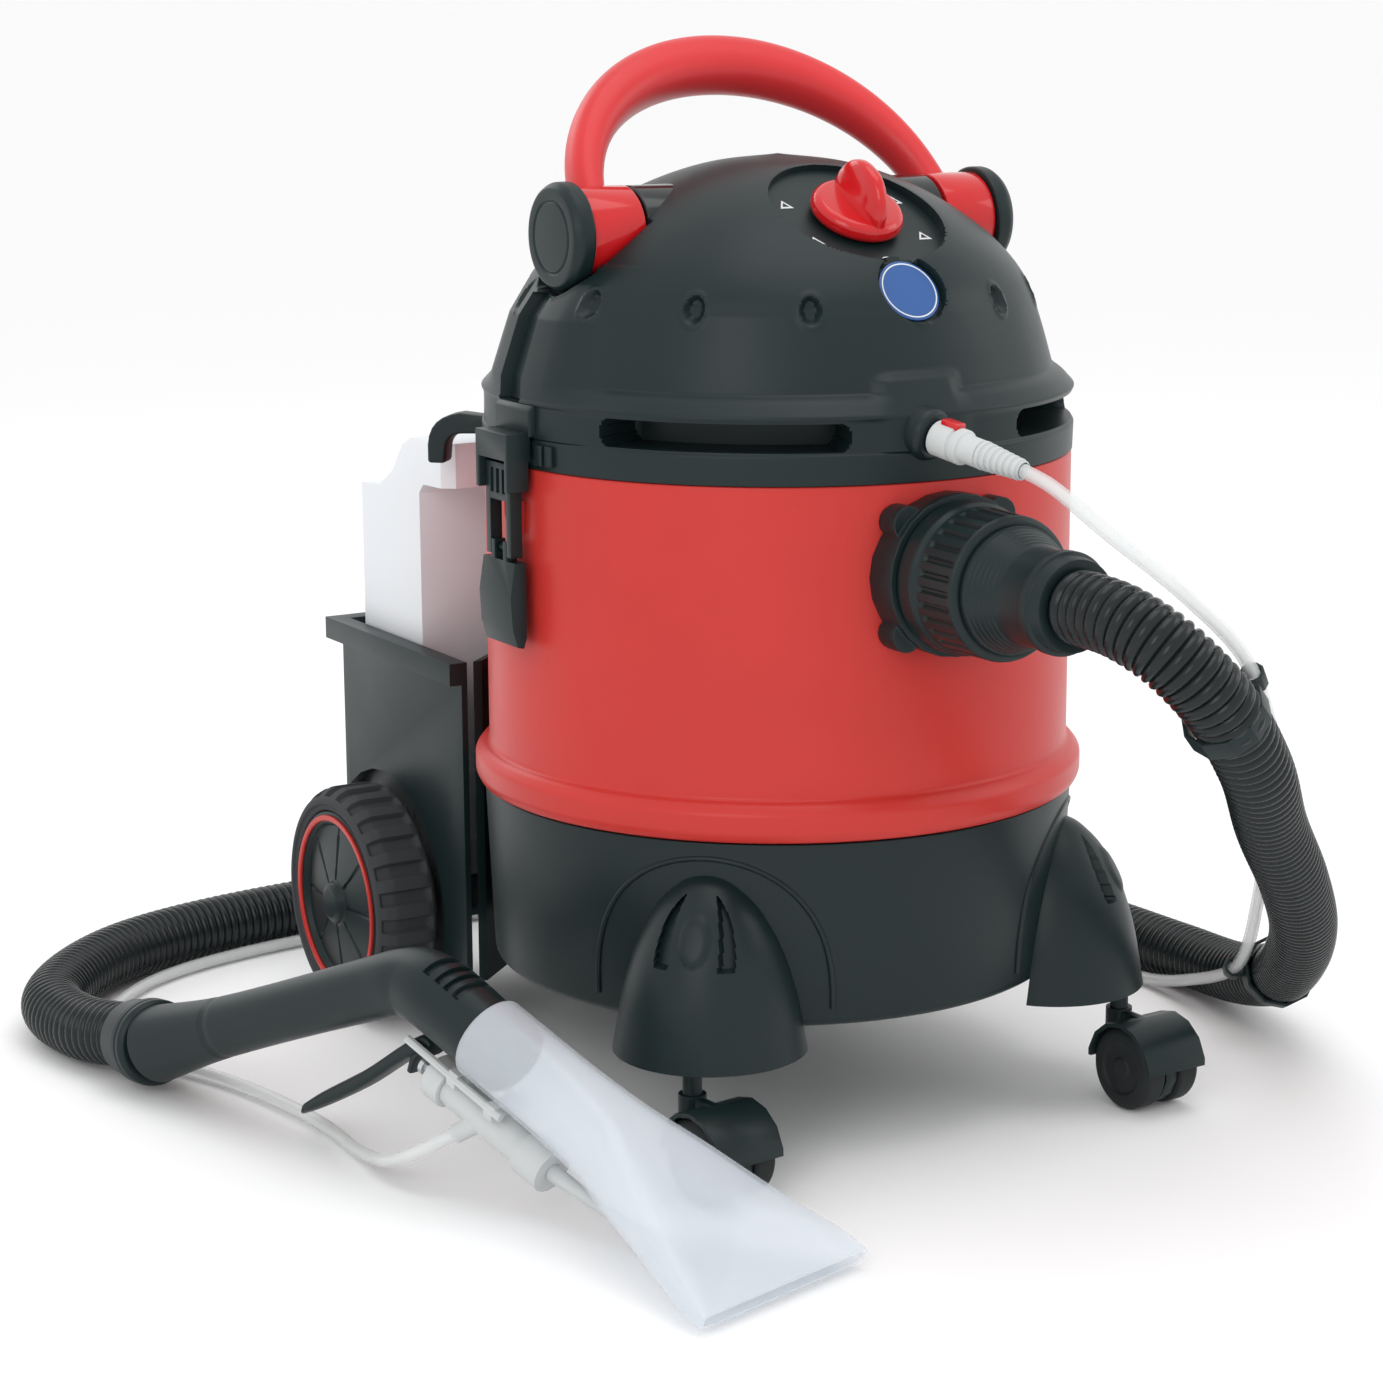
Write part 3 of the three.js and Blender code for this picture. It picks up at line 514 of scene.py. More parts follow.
def softened(node: str, look: Look, body: str, bevel_mm: float = 0.7) -> bpy.types.Object:
    """Makes a node's finished piece: the same solid with its edges rounded as a mould leaves them.

    Args:
        node: The node.
        look: The piece's look.
        body: The body that it rides on.
        bevel_mm: The width of its rounded edges.

    Returns:
        The piece.
    """
    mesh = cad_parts[node].data.copy()
    mesh.materials.clear()
    mesh.materials.append(look.material)
    tidy = bmesh.new()
    tidy.from_mesh(mesh)
    bmesh.ops.remove_doubles(tidy, verts=tidy.verts, dist=0.00001)
    bmesh.ops.dissolve_limit(tidy, angle_limit=math.radians(1.0), verts=tidy.verts, edges=tidy.edges)
    for face in tidy.faces:
        face.material_index = 0
    tidy.to_mesh(mesh)
    tidy.free()
    made = bpy.data.objects.new(node + "_moulded", mesh)
    bpy.context.scene.collection.objects.link(made)
    return dressed(made, body, (node,), bevel_mm)


def section(centre: Vector, across: Vector, up: Vector, half_width: float, half_height: float,
            power: float = 2.0, sides: int = 48) -> Ring:
    """Draws one rounded ring of a lofted body.

    Args:
        centre: The ring's middle.
        across: The direction of its width.
        up: The direction of its height.
        half_width: Half its width.
        half_height: Half its height.
        power: 2 for an ellipse, more for a rounded box.
        sides: How many points go round.

    Returns:
        The ring's points.
    """
    ring = []
    for k in range(sides):
        c, s = math.cos(2 * math.pi * k / sides), math.sin(2 * math.pi * k / sides)
        wide = math.copysign(abs(c) ** (2 / power), c) * half_width
        high = math.copysign(abs(s) ** (2 / power), s) * half_height
        ring.append(centre + across * wide + up * high)
    return ring


def smooth_route(route: Sequence[Point], per_span: int = 24) -> np.ndarray:
    """Draws a smooth curve through a route's points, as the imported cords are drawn.

    Args:
        route: The points that it goes through.
        per_span: Points drawn between two of them.

    Returns:
        The curve's points.
    """
    fixed = np.asarray(route, float)
    wide = np.vstack([2 * fixed[0] - fixed[1], fixed, 2 * fixed[-1] - fixed[-2]])
    made = []
    for p0, p1, p2, p3 in zip(wide, wide[1:], wide[2:], wide[3:]):
        d0, d1, d2 = (max(np.linalg.norm(b - a) ** 0.5, 1e-6) for a, b in ((p0, p1), (p1, p2), (p2, p3)))
        t1 = ((p1 - p0) / d0 - (p2 - p0) / (d0 + d1) + (p2 - p1) / d1) * d1
        t2 = ((p2 - p1) / d1 - (p3 - p1) / (d1 + d2) + (p3 - p2) / d2) * d1
        for t in np.linspace(0, 1, per_span, endpoint=False):
            made.append(p1 + t1 * t + (3 * (p2 - p1) - 2 * t1 - t2) * t**2 + (2 * (p1 - p2) + t1 + t2) * t**3)
    made.append(fixed[-1])
    return np.array(made)


def evenly(curve: np.ndarray, step: float) -> np.ndarray:
    """Redraws a curve with its points an even step apart."""
    gone = np.concatenate([[0], np.cumsum(np.linalg.norm(np.diff(curve, axis=0), axis=1))])
    at = np.linspace(0, gone[-1], max(2, round(gone[-1] / step)) + 1)
    return np.column_stack([np.interp(at, gone, curve[:, k]) for k in range(3)])


def swept(curve: np.ndarray, radii: np.ndarray, sides: int) -> np.ndarray:
    """Carries a circle along a curve without twisting it.

    Args:
        curve: The curve's points.
        radii: The circle's radius at each of them.
        sides: How many points go round.

    Returns:
        The rings.
    """
    ahead = np.gradient(curve, axis=0)
    ahead /= np.linalg.norm(ahead, axis=1)[:, None]
    side = np.cross(ahead[0], (0.0, 0.0, 1.0) if abs(ahead[0][2]) < 0.9 else (1.0, 0.0, 0.0))
    angle = np.linspace(0, 2 * math.pi, sides, endpoint=False)[:, None]
    rows = []
    for point, way, radius in zip(curve, ahead, radii):
        side = side - way * side.dot(way)
        side /= np.linalg.norm(side)
        rows.append(point + radius * (np.cos(angle) * side + np.sin(angle) * np.cross(way, side)))
    return np.array(rows)


# ----------------------------------------------------------- camera and room


@dataclass
class Studio:
    """The camera, the pale floor and the soft lights."""

    eye_mm: tuple[float, float, float] = (-1038.9, -1662.6, 665.2)
    gaze: tuple[float, float, float] = (0.5178, 0.8286, -0.2127)
    lens_mm: float = 85.9
    shift: float = -0.0624

    def camera(self) -> None:
        """Stands the camera to the left of the machine's front, a little above it."""
        data = bpy.data.cameras.new("studio_camera")
        data.lens, data.sensor_width, data.shift_x = self.lens_mm, 36.0, self.shift
        data.clip_start, data.clip_end = CAMERA_NEAR_M, CAMERA_FAR_M
        eye = bpy.data.objects.new("studio_camera", data)
        eye.location = place([self.eye_mm])[0]
        eye.rotation_mode = "QUATERNION"
        eye.rotation_quaternion = Vector(self.gaze).to_track_quat("-Z", "Y")
        bpy.context.scene.collection.objects.link(eye)
        bpy.context.scene.camera = eye

    def lamp(self, name: str, at: Point, size: float, power: float) -> None:
        """Hangs one soft square light that faces the machine's middle.

        Args:
            name: The light's name.
            at: Where it hangs, in metres.
            size: Its side, in metres.
            power: Its power, in watts.
        """
        data = bpy.data.lights.new(name, "AREA")
        data.shape, data.size, data.energy = "SQUARE", size, power
        lamp = bpy.data.objects.new(name, data)
        lamp.location = at
        lamp.rotation_mode = "QUATERNION"
        lamp.rotation_quaternion = (Vector((0, 0, 0.3)) - Vector(at)).to_track_quat("-Z", "Y")
        bpy.context.scene.collection.objects.link(lamp)

    def room(self) -> None:
        """Lays the floor and lights it."""
        mesh = bpy.data.meshes.new("studio_floor")
        corners = ((-1, -1), (1, -1), (1, 1), (-1, 1))
        mesh.from_pydata([(x * FLOOR_HALF_M, y * FLOOR_HALF_M, -FLOOR_DROP_M) for x, y in corners],
                         [], [(0, 1, 2, 3)])
        material, shader = _principled("pale_floor")
        shader.inputs["Base Color"].default_value = (0.96, 0.96, 0.96, 1.0)
        shader.inputs["Roughness"].default_value = 0.9
        shader.inputs["Specular IOR Level"].default_value = 0.1
        mesh.materials.append(material)
        floor = bpy.data.objects.new("studio_floor", mesh)
        bpy.context.scene.collection.objects.link(floor)
        world = bpy.data.worlds.new("studio_air")
        world.use_nodes = True
        world.node_tree.nodes["Background"].inputs["Color"].default_value = (1.0, 1.0, 1.0, 1.0)
        world.node_tree.nodes["Background"].inputs["Strength"].default_value = WORLD_STRENGTH
        bpy.context.scene.world = world
        bpy.context.scene.view_settings.view_transform = "Standard"
        self.lamp("overhead_softbox", (0.2, -0.3, 2.4), 1.5, 10)
        self.lamp("front_left_softbox", (-1.9, -1.6, 1.5), 1.2, 10)
        self.lamp("right_softbox", (2.0, -0.9, 1.3), 1.0, 4)
        self.lamp("back_softbox", (-0.4, 2.2, 1.6), 1.2, 6)


# --------------------------------------------------------------------- cords


@dataclass
class SuctionHose:
    """The ribbed hose from the machine's inlet, round the back, to the hand tool.

    Attributes:
        route_m: The points that it lies through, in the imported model's metres.
    """

    route_m: tuple[Point, ...]
    bore_mm: float = 40.0
    rib_pitch_mm: float = 6.0
    rib_depth_mm: float = 2.4
    sides: int = 30

    def centreline(self) -> np.ndarray:
        """The hose's middle line, in machine millimetres."""
        return smooth_route(np.array(self.route_m) * 1000.0 - AXIS_OFFSET)

    def make(self, held: Sequence[bpy.types.Object]) -> bpy.types.Object:
        """Makes the hose with its ribs.

        Args:
            held: The cuffs, clips and tool that go with it. Not used.

        Returns:
            The hose.
        """
        line = evenly(self.centreline(), self.rib_pitch_mm / RIB_STEPS)
        gone = np.arange(len(line)) / RIB_STEPS
        crest = np.abs(np.sin(math.pi * gone)) ** 0.55
        radii = self.bore_mm / 2 + 0.3 - self.rib_depth_mm * (1 - crest)
        hose = Shape().grid(swept(line, radii, self.sides)).piece(
            "ribbed_hose", Look.RIBBED_HOSE, "root", ("suction_hose",), sharp=80)
        return hose


@dataclass
class SolutionTube:
    """The clear tube that feeds the spray valve, clipped beside the hose."""

    route_m: tuple[Point, ...]
    outside_mm: float = 8.0
    inside_mm: float = 5.0
    sides: int = 20

    def make(self, held: Sequence[bpy.types.Object]) -> bpy.types.Object:
        """Makes the tube with its bore.

        Args:
            held: The relief spiral and the eyes that go with it. Not used.

        Returns:
            The tube.
        """
        line = evenly(smooth_route(np.array(self.route_m) * 1000.0 - AXIS_OFFSET), 4.0)
        count = len(line)
        outer = swept(line, np.full(count, self.outside_mm / 2), self.sides)
        inner = swept(line, np.full(count, self.inside_mm / 2), self.sides)
        tube = Shape().grid(np.vstack([outer, inner[::-1]]), wrap_rows=True).piece(
            "clear_tube", Look.CLEAR_TUBE, "root", ("solution_tube",), sharp=60)
        return tube


# ---------------------------------------------------------------- the drum


@dataclass
class DrumAndBase:
    """The red drum with its rolled bead, on the black base."""

    drum_line: Profile = field(default_factory=lambda: [
        (0, 87), (168, 87), (170.2, 90), (174, 190.2), (181, 190.6), (183.5, 196), (183.5, 207),
        (179.5, 212.2), (175, 214), (175, 390.5), (171.8, 390.6), (171.8, 400), (169, 400), (169, 388),
        (172, 384), (172, 215), (170.5, 190), (167, 92), (0, 91.5)])
    base_line: Profile = field(default_factory=lambda: [
        (0, 80), (168, 80), (173.5, 83.5), (178, 189.4), (175.2, 189.4), (170.8, 86), (0, 86)])

    def make(self) -> None:
        """Makes the drum with its catches, and the base."""
        drum = Shape().turned(rounded(self.drum_line, 2.0), sides=192)
        for side in Side:
            x = side.value
            wedge = [(x * 173.5, 352), (x * 178, 352), (x * 180.3, 362), (x * 180.3, 371), (x * 173.5, 371)]
            drum.lofted([[(a, y, z) for a, z in wedge] for y in (-7, 7)])
        drum.piece("drum_shell", Look.DRUM_RED, "root", ("drum",))
        Shape().turned(rounded(self.base_line, 3.0), sides=192).piece(
            "base_tub", Look.SHELL_BLACK, "root", ("base",))


@dataclass
class CasterHood:
    """The rounded hood over a caster, with its two crescent vents and the arch line around it."""

    side: Side
    reach: float = 170.0

    def base_radius(self, z: float) -> float:
        """The base's outer radius at a height."""
        return 174.5 + (z - 83.0) * 3.5 / 106.5

    def make(self) -> None:
        """Makes the hood against the base."""
        away = Vector((self.side.value, -1, 0)).normalized()
        along = Vector((-away.y, away.x, 0))
        line = finer(rounded([(56, 68), (50, 104), (41, 132), (29, 154), (14, 168), (1, 172)], 16, 7), 1.6)
        rows = []
        for radius, z in line:
            wall = self.base_radius(z)
            spread = self._half_angle(radius, wall)
            ring = []
            for turn in np.linspace(-spread, spread, 120):
                u, v = radius * math.sin(turn), radius * math.cos(turn)
                v -= self.vent_depth(u, z) * math.cos(turn)
                ring.append(away * (self.reach + v) + along * u + UP * z)
            rows.append(ring)
        Shape().lofted(rows).piece(f"caster_hood_{self.side.word}_moulded", Look.SHELL_BLACK, "root",
                                   (f"caster_hood_{self.side.word}",), sharp=38)
        self.arch(away, along)

    def _half_angle(self, radius: float, wall: float) -> float:
        """How far round the hood it still stands outside the base's wall.

        Args:
            radius: The hood's radius at this height.
            wall: The base's radius at this height.

        Returns:
            The angle from straight out, in radians.
        """
        share = ((wall - 1.0) ** 2 - self.reach**2 - radius**2) / (2 * self.reach * radius)
        return math.acos(max(-1.0, min(1.0, share)))

    def vent_depth(self, u: float, z: float) -> float:
        """How deep the crescent vents are sunk at a spot.

        Args:
            u: Distance to the side of the hood's middle.
            z: Height.

        Returns:
            The depth in millimetres.
        """
        outer = math.hypot(u / 23.0, (z - 124.0) / 41.0)
        inner = math.hypot(u / 15.0, (z - 124.0) / 46.0)
        if outer < 1.0 < inner and z > 124:
            return 7.0
        button = math.hypot(u / 9.0, (z - 140.0) / 13.5)
        return -1.8 * min(1.0, 3.0 * max(0.0, 1.0 - button)) ** 0.5

    def arch(self, away: Vector, along: Vector) -> None:
        """Raises the thin arch on the base that frames the hood.

        Args:
            away: Straight out from the machine's axis to the hood.
            along: To the side of it. Not used.
        """
        middle = math.atan2(away.y, away.x)
        line = []
        for turn in np.linspace(0, math.pi, 61):
            u = 72 * math.cos(turn)
            z = 92 + 88 * math.sin(turn) ** 0.8
            angle = middle + u / 177.0
            radius = self.base_radius(z) - 0.6
            line.append((radius * math.cos(angle), radius * math.sin(angle), z))
        curve = np.array(line)
        rib = swept(curve, np.full(len(curve), 1.7), 12)
        Shape().grid(rib).piece(f"base_arch_{self.side.word}", Look.SHELL_BLACK, "root")


@dataclass
class TwinCaster:
    """A twin-wheel caster with its half cover."""

    side: Side
    trail: tuple[float, float]
    stem: tuple[float, float] = (150.0, -150.0)
    radius: float = 25.0

    def make(self) -> None:
        """Makes the caster's fork and its two wheels."""
        word = self.side.word
        softened(f"caster_frame_{word}", Look.SHELL_BLACK, f"caster_{word}", 0.9)
        trail = Vector((*self.trail, 0)).normalized()
        axle = Vector((-trail.y, trail.x, 0))
        hub = Vector((self.side.value * self.stem[0], self.stem[1], self.radius)) + trail * 26
        wheels = Shape()
        for hand in (-1, 1):
            profile = rounded([(0, 4.6), (20, 4.6), (25, 6.2), (25, 18.5), (22, 21), (16, 21), (14.5, 19.4),
                               (7, 19.4), (6, 20.6), (0, 20.6)], 2.2, 6)
            wheels.turned(profile, hub, axle * hand, 72)
        wheels.turned([(0, -10), (3.6, -10), (3.6, 10), (0, 10)], hub, axle, 24)
        wheels.piece(f"caster_pair_{word}", Look.RUBBER, f"caster_wheels_{word}", (f"caster_wheels_{word}",))


@dataclass
class RoadWheel:
    """A large rear wheel with a ribbed tyre, a dished hub and a red ring."""

    side: Side
    axle: tuple[float, float] = (243.0, 75.0)
    radius: float = 75.0
    lugs: int = 26

    def tread(self, rows: np.ndarray) -> np.ndarray:
        """Sinks the gaps between the tyre's lugs.

        Args:
            rows: The plain tyre's points, about its own axis.

        Returns:
            The points with the gaps sunk.
        """
        angle = np.arctan2(rows[..., 1], rows[..., 0])
        radius = np.hypot(rows[..., 0], rows[..., 1])
        wave = np.cos(angle * self.lugs)
        gap = np.clip((0.15 - wave) / 0.25, 0, 1)
        across = np.clip((rows[..., 2] - 153) / 3, 0, 1) * np.clip((187 - rows[..., 2]) / 2, 0, 1)
        outer = np.clip((radius - 68.5) / 2, 0, 1)
        share = 1 - gap * across * outer * 3.2 / radius
        return np.stack([rows[..., 0] * share, rows[..., 1] * share, rows[..., 2]], -1)

    def spokes(self, rows: np.ndarray) -> np.ndarray:
        """Presses eight narrow radial lines into the hub's face."""
        angle = np.arctan2(rows[..., 1], rows[..., 0])
        radius = np.hypot(rows[..., 0], rows[..., 1])
        off = np.abs((angle / (math.pi / 4) + 0.5) % 1.0 - 0.5) * (math.pi / 4) * radius
        groove = (off < 1.1) & (radius > 15) & (radius < 50) & (rows[..., 2] > 180)
        made = rows.copy()
        made[..., 2] -= np.where(groove, 1.4, 0.0)
        return made

    def make(self) -> None:
        """Makes the tyre, the hub and the ring."""
        word, out = self.side.word, Vector((self.side.value, 0, 0))
        origin = (0, *self.axle)
        tyre = rounded([(60, 148), (70, 148), (73.5, 151), (75, 155), (75, 178), (72.5, 184), (68.5, 188.4),
                        (64.5, 188.8), (63.5, 187.2), (60, 187)], 1.6, 4, closed=True)
        tyre = finer(tyre + tyre[:1], 1.5)[:-1]
        body = f"wheel_{word}"
        Shape().turned(tyre, origin, out, self.lugs * 14, ring=True, warp=self.tread).piece(
            f"ribbed_tyre_{word}", Look.TYRE, body, (f"tyre_{word}",))
        hub = rounded([(0, 148), (16, 148), (18, 160), (54, 160), (57, 149), (59.6, 149), (59.6, 186.8),
                       (51.6, 186.4), (50.4, 183), (14, 186.8), (13, 190), (10, 191.6), (0, 192)], 1.2, 4)
        Shape().turned(finer(hub, 2.5), origin, out, 240, warp=self.spokes).piece(
            f"dished_hub_{word}", Look.SHELL_BLACK, body, (f"wheel_hub_{word}",))
        band = rounded([(53.4, 186.2), (53.4, 188.2), (57.2, 188.5), (57.2, 186.2)], 0.8, 4, closed=True)
        Shape().turned(band, origin, out, 120, ring=True).piece(f"red_ring_{word}", Look.DRUM_RED, body)


# ------------------------------------------------------------ the motor head


@dataclass(frozen=True)
class Recess:
    """A round flat-bottomed recess in the dome."""

    centre: tuple[float, float, float]
    normal: tuple[float, float, float]
    radius: float

    def spot(self, lift: float = 0.0, right: float = 0.0, down: float = 0.0) -> Vector:
        """A point on or over the recess' floor.

        Args:
            lift: Height over the floor.
            right: Distance towards +X.
            down: Distance down the slope, towards the front.

        Returns:
            The point.
        """
        normal = Vector(self.normal).normalized()
        slope = Vector((1, 0, 0)).cross(normal)
        return Vector(self.centre) + normal * lift + Vector((1, 0, 0)) * right + slope * down

    def sink(self, points: np.ndarray) -> np.ndarray:
        """Presses the recess into a surface, with a clean round edge.

        Args:
            points: The surface's points.

        Returns:
            The points with those inside the recess on its floor.
        """
        normal = np.array(Vector(self.normal).normalized())
        away = points - np.array(self.centre)
        height = away @ normal
        flat = away - height[..., None] * normal
        gone = np.linalg.norm(flat, axis=-1)
        near = (height > -20) & (height < 40)
        inside = near & (gone < self.radius)
        edge_in = inside & (gone > self.radius - 1.3)
        edge_out = near & (gone >= self.radius) & (gone < self.radius + 1.3)
        share = np.ones_like(gone)
        share[edge_in] = (self.radius - 0.5) / gone[edge_in]
        share[edge_out] = self.radius / gone[edge_out]
        made = points + flat * (share - 1)[..., None]
        made[inside] -= (height[..., None] * normal)[inside]
        return made


PANEL = Recess((0, -82, 528), (0, -0.5, 0.866), 52.0)
BADGE = Recess((0, -137, 491.5), (0, -0.817, 0.577), 21.5)


@dataclass
class MotorHead:
    """The domed head with its vents, dished panel, latch fairings and inner works."""

    skirt: Profile = field(default_factory=lambda: [
        (175.5, 391), (176, 407), (174.5, 408.5), (174.5, 425), (176.4, 428), (169, 436), (163, 439.5),
        (162.4, 442)])
    shoulder: Profile = field(default_factory=lambda: [(162.4, 442), (157, 461), (150.6, 481)])
    crown: Profile = field(default_factory=lambda: [
        (150.6, 481), (144.5, 493), (131, 509.5), (108, 528), (78, 544.5), (42, 556.5), (0, 562)])
    inner: Profile = field(default_factory=lambda: [
        (0, 558), (65, 547), (106, 524), (129, 503), (138, 473), (138, 436), (138, 404), (172.4, 404),
        (172.4, 391)])
    handle_height: float = 519.0
    stud_height: float = 484.0
    stud_turn: float = 25.0

    def warp(self, rows: np.ndarray) -> np.ndarray:
        """Presses every recess into the dome's outer face.

        Args:
            rows: The plain turned dome's points.

        Returns:
            The points with vents, studs, dishes and handle seats.
        """
        made = self.bulges(self.vents(rows.copy()))
        made = self.studs(made)
        made = BADGE.sink(PANEL.sink(made))
        return self.handle_seats(made)

    def vents(self, made: np.ndarray) -> np.ndarray:
        """Sinks the four long cooling vents under the dome's lip."""
        turn = np.degrees(np.abs(np.arctan2(made[..., 0], -made[..., 1])))
        radius = np.hypot(made[..., 0], made[..., 1])
        past = np.minimum(np.abs(turn - 42.5), np.abs(turn - 137.5)) * 3.07
        corner = np.hypot(np.maximum(past - 67.0, 0), np.maximum(np.abs(made[..., 2] - 417) - 2.4, 0))
        slot = (corner < 5.2) & (radius > 170)
        return _at_radius(made, np.where(slot, 142.0, radius))

    def bulges(self, made: np.ndarray) -> np.ndarray:
        """Swells the shell over each latch, with an upright trough, and over the tube's coupling."""
        turn = np.degrees(np.arctan2(made[..., 0], -made[..., 1]))
        radius, z = np.hypot(made[..., 0], made[..., 1]), made[..., 2]
        above = z > 408.4
        share = np.clip((28 - np.abs(np.abs(turn) - 92)) / 18, 0, 1)
        full = np.interp(z, [408, 440, 474, 494, 505, 516], [176.2, 174.5, 163, 149, 137, 0])
        radius = radius + above * share**2 * (3 - 2 * share) * np.maximum(full - radius, 0)
        trough = (np.abs(np.abs(turn) - 93) < 4.4) & (z > 426) & (z < 486)
        radius = np.where(trough, radius - 7.0, radius)
        hump = above * np.clip((11 - np.abs(turn + 3.6)) / 5, 0, 1) * np.clip((452 - z) / 6, 0, 1)
        boss = 176 - np.maximum(z - 428, 0) * 0.55
        radius = radius + hump**2 * (3 - 2 * hump) * np.maximum(boss - radius, 0)
        return _at_radius(made, radius)

    def studs(self, made: np.ndarray) -> np.ndarray:
        """Presses the ring of small oval dimples into the dome's shoulder."""
        turn = np.degrees(np.arctan2(made[..., 0], -made[..., 1]))
        radius = np.hypot(made[..., 0], made[..., 1])
        off = (turn + self.stud_turn / 2) % self.stud_turn - self.stud_turn / 2
        across = np.radians(off) * radius / 6.0
        upward = (made[..., 2] - self.stud_height) * 1.09 / 8.6
        gone = np.hypot(across, upward)
        sunk = 4.6 * np.clip((1 - gone) / 0.4, 0, 1) - 0.8 * np.exp(-((gone - 1.18) / 0.16) ** 2)
        sunk *= (np.abs(turn) < 80) | (np.abs(turn) > 100)
        return _at_radius(made, radius - np.where((gone < 2) & (radius > 120), sunk, 0))

    def handle_seats(self, made: np.ndarray) -> np.ndarray:
        """Cuts the round seats for the handle's barrels and caps into the dome's sides."""
        y, z = made[..., 1], made[..., 2] - self.handle_height
        gone = np.hypot(y, z)
        for radius, face in ((34.0, 137.8), (32.0, 102.5)):
            out = np.abs(made[..., 0]) > face
            share = np.ones_like(gone)
            edge = out & (np.abs(gone - radius) < 1.2)
            share[edge] = radius / gone[edge]
            made[..., 1] = y * share
            made[..., 2] = z * share + self.handle_height
            inside = out & (gone < radius)
            made[..., 0] = np.where(inside, np.sign(made[..., 0]) * face, made[..., 0])
            y, z = made[..., 1], made[..., 2] - self.handle_height
        return made

    def shell(self) -> None:
        """Makes the dome with its fairings, pads and coupling boss."""
        shoulder = [tuple(p) for p in smooth_route(self.shoulder, 12)]
        crown = [tuple(p) for p in smooth_route(self.crown, 12)]
        line = finer(rounded(self.skirt, 3.0, 5) + shoulder[1:] + crown[1:], 1.3)
        sides = 720
        angle = np.linspace(0, 2 * math.pi, sides, endpoint=False)
        around = np.stack([np.cos(angle), np.sin(angle)], 1)
        shell = np.array([np.column_stack([around * max(r, 0.02), np.full(sides, z)]) for r, z in line])
        lining = np.array([np.column_stack([around * max(r, 0.02), np.full(sides, z)])
                           for r, z in finer(rounded(self.inner, 3.0, 4), 4.0)])
        for recess in (PANEL, BADGE):
            under = Recess(tuple(recess.spot(-2.5)), recess.normal, recess.radius + 3.5)
            lining = under.sink(lining)
        dome = Shape().grid(np.vstack([self.warp(shell), lining]), wrap_rows=True)
        dome.piece("domed_shell", Look.SHELL_BLACK, "head", ("head_shell",), sharp=30)
        for side in Side:
            self.fairing(side)
            self.handle_boss(side)
        boss = [(0, -14), (15, -14), (15, 1.5), (13, 4.4), (7.2, 4.6), (0, 4.6)]
        Shape().turned(rounded(boss, 1.5), COUPLING_AT, COUPLING_WAY, 64).piece(
            "coupling_boss", Look.SHELL_BLACK, "head")

    def fairing(self, side: Side) -> None:
        """Makes the ledge over a latch and the pads on the collar beside it.

        Args:
            side: The side that the latch is on.
        """
        s = side.value
        ledge = [(s * x, z) for x, z in ((168, 409), (178.6, 409), (178.6, 424), (176, 427), (168, 427))]
        made = Shape().lofted([[(x, y, z) for x, z in ledge] for y in (-21, 21)])
        for hand in (-1.25, -0.95, 0.95, 1.25):
            middle = hand * 0.16
            start, end = middle - 0.018, middle + 0.018
            pad = [(math.cos(a) * r * s, math.sin(a) * r)
                   for a, r in ((start, 174), (start, 178.8), (end, 178.8), (end, 174))]
            made.slab(pad, 393.5, 405.5)
        made.piece(f"latch_ledge_{side.word}", Look.SHELL_BLACK, "head", bevel_mm=1.2)

    def handle_boss(self, side: Side) -> None:
        """Makes the glossy boss that carries a handle barrel, and its capped pin.

        Args:
            side: The side that it is on.
        """
        origin, out = (0, 0, self.handle_height), Vector((side.value, 0, 0))
        boss = rounded([(0, 44), (27.6, 44), (27.6, 101.4), (26.4, 102.4), (0, 102.4)], 0.8, 4)
        Shape().turned(boss, origin, out, 96).piece(f"handle_boss_{side.word}", Look.GLOSS_BLACK, "head")
        cap = rounded([(0, 102.9), (24, 102.9), (24, 104), (14, 104), (14, 138.4), (31, 138.6), (31, 147),
                       (28, 151.5), (21.5, 151.5), (20.5, 150.2), (19.5, 151.5), (0, 151.5)], 1.6, 5)
        Shape().turned(cap, origin, out, 96).piece(
            f"handle_cap_{side.word}", Look.SHELL_BLACK, "head", (f"handle_pivot_{side.word}",))

    def marks(self) -> None:
        """Prints the plain switch marks on the panel: a ring for off and four triangles."""
        normal = Vector(PANEL.normal)
        ring = [(3.2, 0.0), (3.2, 0.3), (4.6, 0.3), (4.6, 0.0)]
        made = Shape().turned(ring, PANEL.spot(0.02, 0, 42), normal, 40, ring=True)
        for turn in (-115, -62, 62, 115):
            right, down = 41 * math.sin(math.radians(turn)), 41 * math.cos(math.radians(turn))
            corners = [(0, -4.6), (4.4, 3.2), (-4.4, 3.2)]
            outside = [PANEL.spot(0.25, right + x, down + y) for x, y in corners]
            inside = [PANEL.spot(0.25, right + x * 0.55, down + y * 0.55) for x, y in corners]
            foot = [p - normal * 0.23 for p in outside]
            foot_in = [p - normal * 0.23 for p in inside]
            rings = [[tuple(p) for p in ring] for ring in (foot, outside, inside, foot_in)]
            made.grid(np.array(rings), wrap_rows=True)
        made.piece("panel_marks", Look.BADGE_PALE, "head")

    def badge(self) -> None:
        """Makes the plain blue disc in its own small dish, with a pale ring."""
        normal = Vector(BADGE.normal)
        disc = rounded([(0, 0.3), (19, 0.3), (19, 1.5), (18, 1.8), (0, 1.8)], 0.4, 4)
        Shape().turned(disc, BADGE.centre, normal, 96).piece("blue_disc", Look.BADGE_BLUE, "head", ("badge",))
        band = [(16.6, 1.75), (16.6, 1.95), (17.4, 1.95), (17.4, 1.75)]
        Shape().turned(band, BADGE.centre, normal, 96, ring=True).piece("disc_ring", Look.BADGE_PALE, "head")

